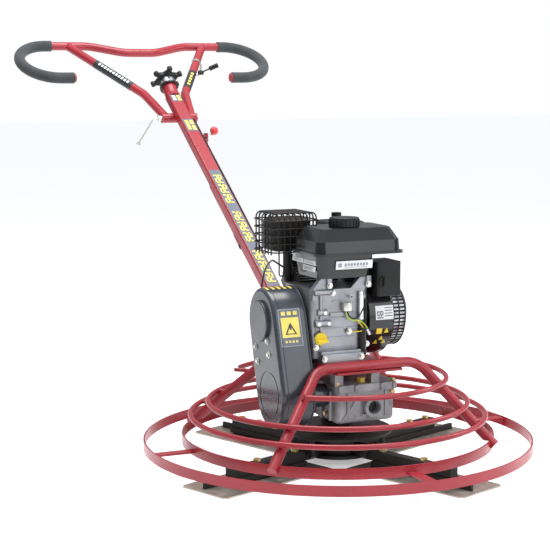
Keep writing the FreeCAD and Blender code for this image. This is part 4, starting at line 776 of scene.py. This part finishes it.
def makeStarterGrille():
    # bright louvres round the starter housing, with a ring at each end and a round plate on its face
    start, end = fanSize["louvreX"]
    out = Vector((1, 0, 0))
    tree, stand, output = ringTree()
    move = tree.nodes.new("GeometryNodeTransform")
    move.inputs["Translation"].default_value = point((start + end) / 2, *fanSize["centre"])
    tree.links.new(stand.outputs["Geometry"], move.inputs["Geometry"])
    endTree(tree, move.outputs["Geometry"], output, looks["louvre"])
    values = {"Count": 56, "Ring Radius": 0.0795, "Bar Length": (end - start) * mm, "Bar Width": 0.0046,
              "Bar Height": 0.004}
    empty = bpy.data.meshes.new("starterLouvreStart")
    treeResult("starterLouvres", empty, tree, values, "root")
    # a thin dark band just inside the louvres: painted shade seen through the slots
    dark = bmesh.new()
    for a in range(0, 360, 30):
        addCurvedPatch(dark, (start, end), fanSize["centre"], 79.0, a, a + 29.9, thick=1.5, steps=4)
    makePiece("starterSlotShade", dark, looks["satinBlackAndShade"], "root")
    face = bmesh.new()
    centre = point(fanSize["faceX"], *fanSize["centre"])
    plate = [(0, -1), (50, -1), (52, 0.5), (50, 1.5), (34, 1.5), (31, 0.4), (0, 0.4)]
    addLathe(face, plate, centre, out, 48)
    for x in (start, (start + end) / 2, end):
        place = point(x, *fanSize["centre"])
        addLathe(face, [(0, -2), (82, -2), (82.6, 0), (82, 2), (0, 2)], place, out, 64)
    makePiece("starterFace", face, looks["satinBlackAndShade"], "root")
    places = []
    for index in range(4):
        a = rad(45 + 90 * index)
        y, z = fanSize["centre"][0] + 42 * math.cos(a), fanSize["centre"][1] + 42 * math.sin(a)
        places.append((point(fanSize["faceX"] + 1.5, y, z), out))
    heads = pointMesh("starterScrewPoints", places)
    treeResult("starterScrews", heads, screwsZinc, {}, "root")


makeTankLabels()
makeFanLabels()
makeStarterGrille()
print("tank and fan cover done")


gearSize = {"front": -115, "lidFront": -120.5, "lugX": (-52, -8, 60, 94), "lugZ": (190, 206),
            "frontRibs": ((-32, -27, 122, 190, 4), (70, 74, 124, 190, 3)),
            "sideRibX": ((-65, -56), (98, 106)),
            "sideRibY": (-88, -40, 8, 56), "sideRibZ": (118, 190), "socket": (34, 150),
            "lidScrewX": (-54, 96), "lidScrewY": (-108, 74), "sideScrewY": (-60, 10),
            "web": ((-44, 122), (10, 128), (12, 150), (2, 176), (-2, 176))}


def makeGearboxParts():
    bm = bmesh.new()
    front, lidFront = gearSize["front"], gearSize["lidFront"]
    ahead = Vector((0, -1, 0))
    place = frameOf(point(0, front, 0), Vector((1, 0, 0)), Vector((0, 0, 1)))
    addPrism(bm, gearSize["web"], -1, 3, place)
    for x0, x1, z0, z1, out in gearSize["frontRibs"]:
        addBox(bm, (x0, front - out, z0), (x1, front + 2, z1))
    for x in gearSize["lugX"]:
        addRod(bm, *[point(x, lidFront, z) for z in gearSize["lugZ"]], 5.5)
    low, high = gearSize["sideRibZ"]
    for y in gearSize["sideRibY"]:
        for x0, x1 in gearSize["sideRibX"]:
            addBox(bm, (x0, y - 3, low), (x1, y + 3, high))
    x, z = gearSize["socket"]
    rim = [(22, -2), (24.5, -1), (24.5, 4), (22.4, 5.5), (17, 5.5), (16.2, 4), (16.2, -2)]
    addLathe(bm, rim, point(x, -130, z), ahead, 40)
    makePiece("gearboxRibs", bm, looks["roughCast"], "root", bevel=0.8)
    # a near-black disc on the floor of the socket bore: painted shade inside the recess
    bore = bmesh.new()
    addLathe(bore, [(0, 0), (14.9, 0), (14.9, 0.6), (0, 0.6)], point(x, -111, z), ahead, 32)
    makePiece("socketBorePaintedShade", bore, looks["darkInkAndShade"], "root")
    places = []
    for x in gearSize["lidScrewX"]:
        for y in gearSize["lidScrewY"]:
            places.append((point(x, y, 206.8), Vector((0, 0, 1))))
    for y in gearSize["sideScrewY"]:
        places.append((point(-58.6, y, 130), Vector((-1, 0, 0))))
    places.append((point(90, -115.8, 182), ahead))
    values = {"Head Radius": 0.006, "Head Height": 0.005, "Washer Radius": 0.008}
    heads = pointMesh("gearboxScrewPoints", places)
    treeResult("gearboxScrews", heads, screwsYellow, values, "root")


makeGearboxParts()
print("gearbox done")


decalSize = {"half": 17, "strip": (418, 862), "small": (1030, 1084), "top": (1166, 1196), "groups": 3,
             "marks": 3}


def poleFace(y):
    # a flat frame on the pole's upper face: its own X is across, its own Y climbs the pole
    up = inYz(poleLine["angle"] + 90)
    return frameOf(polePoint(y) + up * poleLine["depth"] / 2 * mm, Vector((1, 0, 0)), inYz(poleLine["angle"]))


def alongPole(y0, y1):
    return (y1 - y0) / math.cos(rad(poleLine["angle"]))


def makePoleDecals():
    slate = bmesh.new()
    yellow = bmesh.new()
    pale = bmesh.new()
    half = decalSize["half"]
    y0, y1 = decalSize["strip"]
    place, length = poleFace(y0), alongPole(y0, y1)
    addBox(slate, (-half, 0, -1), (half, length, 0.5), place)
    groupLength = length / decalSize["groups"]
    for group in range(decalSize["groups"]):
        for mark in range(decalSize["marks"]):
            low = groupLength * group + 16 + (groupLength - 34) / decalSize["marks"] * mark
            high = low + (groupLength - 34) / decalSize["marks"] - 7
            middle = (low + high) / 2
            bars = ((-12, low, 12, low + 5), (-12, middle - 2.5, 12, middle + 2.5),
                    (-12, high - 5, 12, high), (-3, low, 3, high), (-12, low, -8, middle),
                    (8, middle, 12, high))
            for bar in bars:
                addBox(yellow, (bar[0], bar[1], 0), (bar[2], bar[3], 1.0), place)
    for key, colour in (("small", yellow), ("top", pale)):
        y0, y1 = decalSize[key]
        place, length = poleFace(y0), alongPole(y0, y1)
        addBox(slate, (-half, 0, -1), (half, length, 0.5), place)
        addBox(colour, (-12, length * 0.12, 0), (-2, length * 0.88, 0.9), place)
        addBox(yellow, (3, length * 0.1, 0), (14, length * 0.45, 0.9), place)
        addBox(yellow, (3, length * 0.55, 0), (14, length * 0.9, 0.9), place)
    makePiece("poleDecals", slate, looks["slateInk"], "root")
    makePiece("poleMarksYellow", yellow, looks["yellowInk"], "root")
    makePiece("poleMarksPale", pale, looks["paleInk"], "root")
    ring = bmesh.new()
    under = inYz(poleLine["angle"] + 90) * -27 * mm
    start = polePoint(606) + under
    addRod(ring, start, start + inYz(poleLine["angle"]) * 8 * mm, 15.4)
    makePiece("stayRing", ring, looks["satinBlackAndShade"], "root")


wheelSize = {"up": 66.4, "thick": 16, "lobes": 6, "phase": 30, "valley": 30, "neckHalf": 5.5, "neckAt": 37,
             "flareHalf": 8.5, "flareAt": 46, "tip": 52}


def makePitchWheel():
    base = polePoint(neckTop["y"]) + neckAxis * wheelSize["up"] * mm
    place = frameOf(base, Vector((1, 0, 0)), inYz(neckTop["angle"] - 90) * -1)
    if (place.to_3x3() @ Vector((0, 0, 1))).dot(neckAxis) < 0:
        place = place @ Matrix.Rotation(math.pi, 4, "X")
    half = [(wheelSize["neckAt"], wheelSize["neckHalf"]), (wheelSize["flareAt"], wheelSize["flareHalf"]),
            (wheelSize["tip"], wheelSize["flareHalf"] * 0.7)]
    lobe = [(r, -h) for r, h in half] + half[::-1]
    outline = []
    for index in range(wheelSize["lobes"]):
        turn = rad(360 / wheelSize["lobes"] * index + wheelSize["phase"])
        for r, h in lobe:
            outline.append((r * math.cos(turn) - h * math.sin(turn), r * math.sin(turn) + h * math.cos(turn)))
        gap = turn + rad(180 / wheelSize["lobes"])
        outline.append((wheelSize["valley"] * math.cos(gap), wheelSize["valley"] * math.sin(gap)))
    bm = bmesh.new()
    addPrism(bm, outline, 1, wheelSize["thick"] - 1, place)
    star = makePiece("pitchStar", bm, looks["satinBlackAndShade"], "wheel", bevel=2.4, smooth=50)
    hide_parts("pitch_wheel")
    hub = bmesh.new()
    dome = [(0, 0), (26, 0), (27, 2), (25, 14), (20, 19), (8, 20), (7, 22), (0, 22)]
    addLathe(hub, dome, base, neckAxis, 36)
    addLathe(hub, [(0, -36), (5.4, -36), (6, -35), (6, 1), (0, 1)], base, neckAxis, 20)
    makePiece("pitchHub", hub, looks["satinBlackAndShade"], "wheel")


makePoleDecals()
makePitchWheel()
print("pole done")


barSize = {"y": 1514, "z": 1012, "slope": 28.7, "tube": 13.5, "corner": (69, -265), "top": (236, 60),
           "leftWrap": (0.14, 0.62), "rightWrap": (0.08, 0.42)}


def barPoint(across, along):
    return point(poleLine["x"] + across, barSize["y"], barSize["z"]) + inYz(barSize["slope"]) * along * mm


def makeArmWraps():
    up = inYz(barSize["slope"] + 90)
    wraps = bmesh.new()
    pale = bmesh.new()
    yellow = bmesh.new()
    for side, key, marks, count in ((-1, "leftWrap", pale, 11), (1, "rightWrap", yellow, 5)):
        low = barPoint(side * barSize["corner"][0], barSize["corner"][1])
        high = barPoint(side * barSize["top"][0], barSize["top"][1])
        start, end = [low.lerp(high, share) for share in barSize[key]]
        addRod(wraps, start, end, barSize["tube"] + 0.5, sides=36)
        place = frameOf(start, end - start, up.cross(end - start))
        if (place.to_3x3() @ Vector((0, 0, 1))).dot(up) < 0:
            place = place @ Matrix.Rotation(math.pi, 4, "X")
        place = place @ Matrix.Rotation(rad(-25 if side < 0 else 10), 4, "X")
        length = (end - start).length / mm
        step = (length - 30) / count
        for index in range(count):
            x = 16 + step * index
            addBox(marks, (x, -4.5 + index % 2, 10), (x + step * 0.62, 4.5, barSize["tube"] + 0.7), place)
    makePiece("armWraps", wraps, looks["darkInkAndShade"], "handle")
    makePiece("armMarksPale", pale, looks["paleInk"], "handle")
    makePiece("armMarksYellow", yellow, looks["yellowInk"], "handle")


makeArmWraps()
print("handlebar done")


cameraSize = {"place": (-1.5645, -3.2078, 0.9258), "yaw": 0.41102, "pitch": 0.13089, "roll": -0.0036,
              "lens": 96.554, "sensor": 36}


def makeCamera():
    data = bpy.data.cameras.new("studioCamera")
    data.sensor_width = cameraSize["sensor"]
    data.lens = cameraSize["lens"]
    data.clip_end = 100
    camera = bpy.data.objects.new("studioCamera", data)
    bpy.context.collection.objects.link(camera)
    yaw, pitch = cameraSize["yaw"], cameraSize["pitch"]
    forward = Vector((math.sin(yaw) * math.cos(pitch), math.cos(yaw) * math.cos(pitch), -math.sin(pitch)))
    right = Vector((math.cos(yaw), -math.sin(yaw), 0))
    up = right.cross(forward)
    turn = Matrix((right, up, -forward)).transposed() @ Matrix.Rotation(cameraSize["roll"], 3, "Z")
    camera.matrix_world = Matrix.Translation(cameraSize["place"]) @ turn.to_4x4()
    bpy.context.scene.camera = camera


def makeLight(name, place, target, size, power, colour=(1, 1, 1)):
    data = bpy.data.lights.new(name, "AREA")
    data.shape = "DISK"
    data.size = size
    data.energy = power
    data.color = colour
    light = bpy.data.objects.new(name, data)
    bpy.context.collection.objects.link(light)
    light.location = place
    light.rotation_euler = (Vector(target) - Vector(place)).to_track_quat("-Z", "Y").to_euler()


def addSky(tree):
    # a white background, and softer light on the object that fades towards the horizon
    nodes, links = tree.nodes, tree.links
    plain = nodes["Background"]
    plain.inputs["Color"].default_value = (1, 1, 1, 1)
    plain.inputs["Strength"].default_value = 1.0
    coord = nodes.new("ShaderNodeTexCoord")
    split = nodes.new("ShaderNodeSeparateXYZ")
    height = nodes.new("ShaderNodeMapRange")
    height.inputs["From Min"].default_value = 0.0
    height.inputs["From Max"].default_value = 0.9
    height.inputs["To Min"].default_value = 0.16
    height.inputs["To Max"].default_value = 0.95
    links.new(coord.outputs["Generated"], split.inputs["Vector"])
    links.new(split.outputs["Z"], height.inputs["Value"])
    soft = nodes.new("ShaderNodeBackground")
    soft.inputs["Color"].default_value = (0.93, 0.96, 1.0, 1)
    links.new(height.outputs["Result"], soft.inputs["Strength"])
    path = nodes.new("ShaderNodeLightPath")
    mix = nodes.new("ShaderNodeMixShader")
    links.new(path.outputs["Is Camera Ray"], mix.inputs["Fac"])
    links.new(soft.outputs["Background"], mix.inputs[1])
    links.new(plain.outputs["Background"], mix.inputs[2])
    links.new(mix.outputs["Shader"], nodes["World Output"].inputs["Surface"])


def makeStudio():
    bm = bmesh.new()
    bmesh.ops.create_grid(bm, x_segments=2, y_segments=2, size=30)
    mesh = bpy.data.meshes.new("studioFloor")
    bm.to_mesh(mesh)
    bm.free()
    floor = bpy.data.objects.new("studioFloor", mesh)
    floor.location.z = startBox[0].z - 0.0005
    bpy.context.collection.objects.link(floor)
    pale, shader = newMaterial("paleFloor")
    links = pale.node_tree.links
    tone = blendColor(pale, spread(pale, noiseFrom(pale, 3), 0, 1), (0.85, 0.85, 0.85), (0.83, 0.83, 0.84))
    links.new(tone, shader.inputs["Base Color"])
    shader.inputs["Roughness"].default_value = 0.8
    shader.inputs["Emission Color"].default_value = (1, 1, 1, 1)
    shader.inputs["Emission Strength"].default_value = 0.38
    mesh.materials.append(pale)
    world = bpy.data.worlds.new("studioWorld")
    bpy.context.scene.world = world
    world.use_nodes = True
    addSky(world.node_tree)
    makeLight("frontLight", (1.3, -3.6, 1.9), (0, 0.0, 0.4), 3.4, 62, (0.94, 0.97, 1.0))
    makeLight("topLight", (0.1, 0.5, 3.2), (0, 0.3, 0.4), 2.4, 95)
    makeLight("sideLight", (2.6, -0.4, 1.6), (0, 0.2, 0.4), 1.2, 18)


makeCamera()
makeStudio()
bpy.context.scene.view_settings.view_transform = "Standard"
print("studio done")
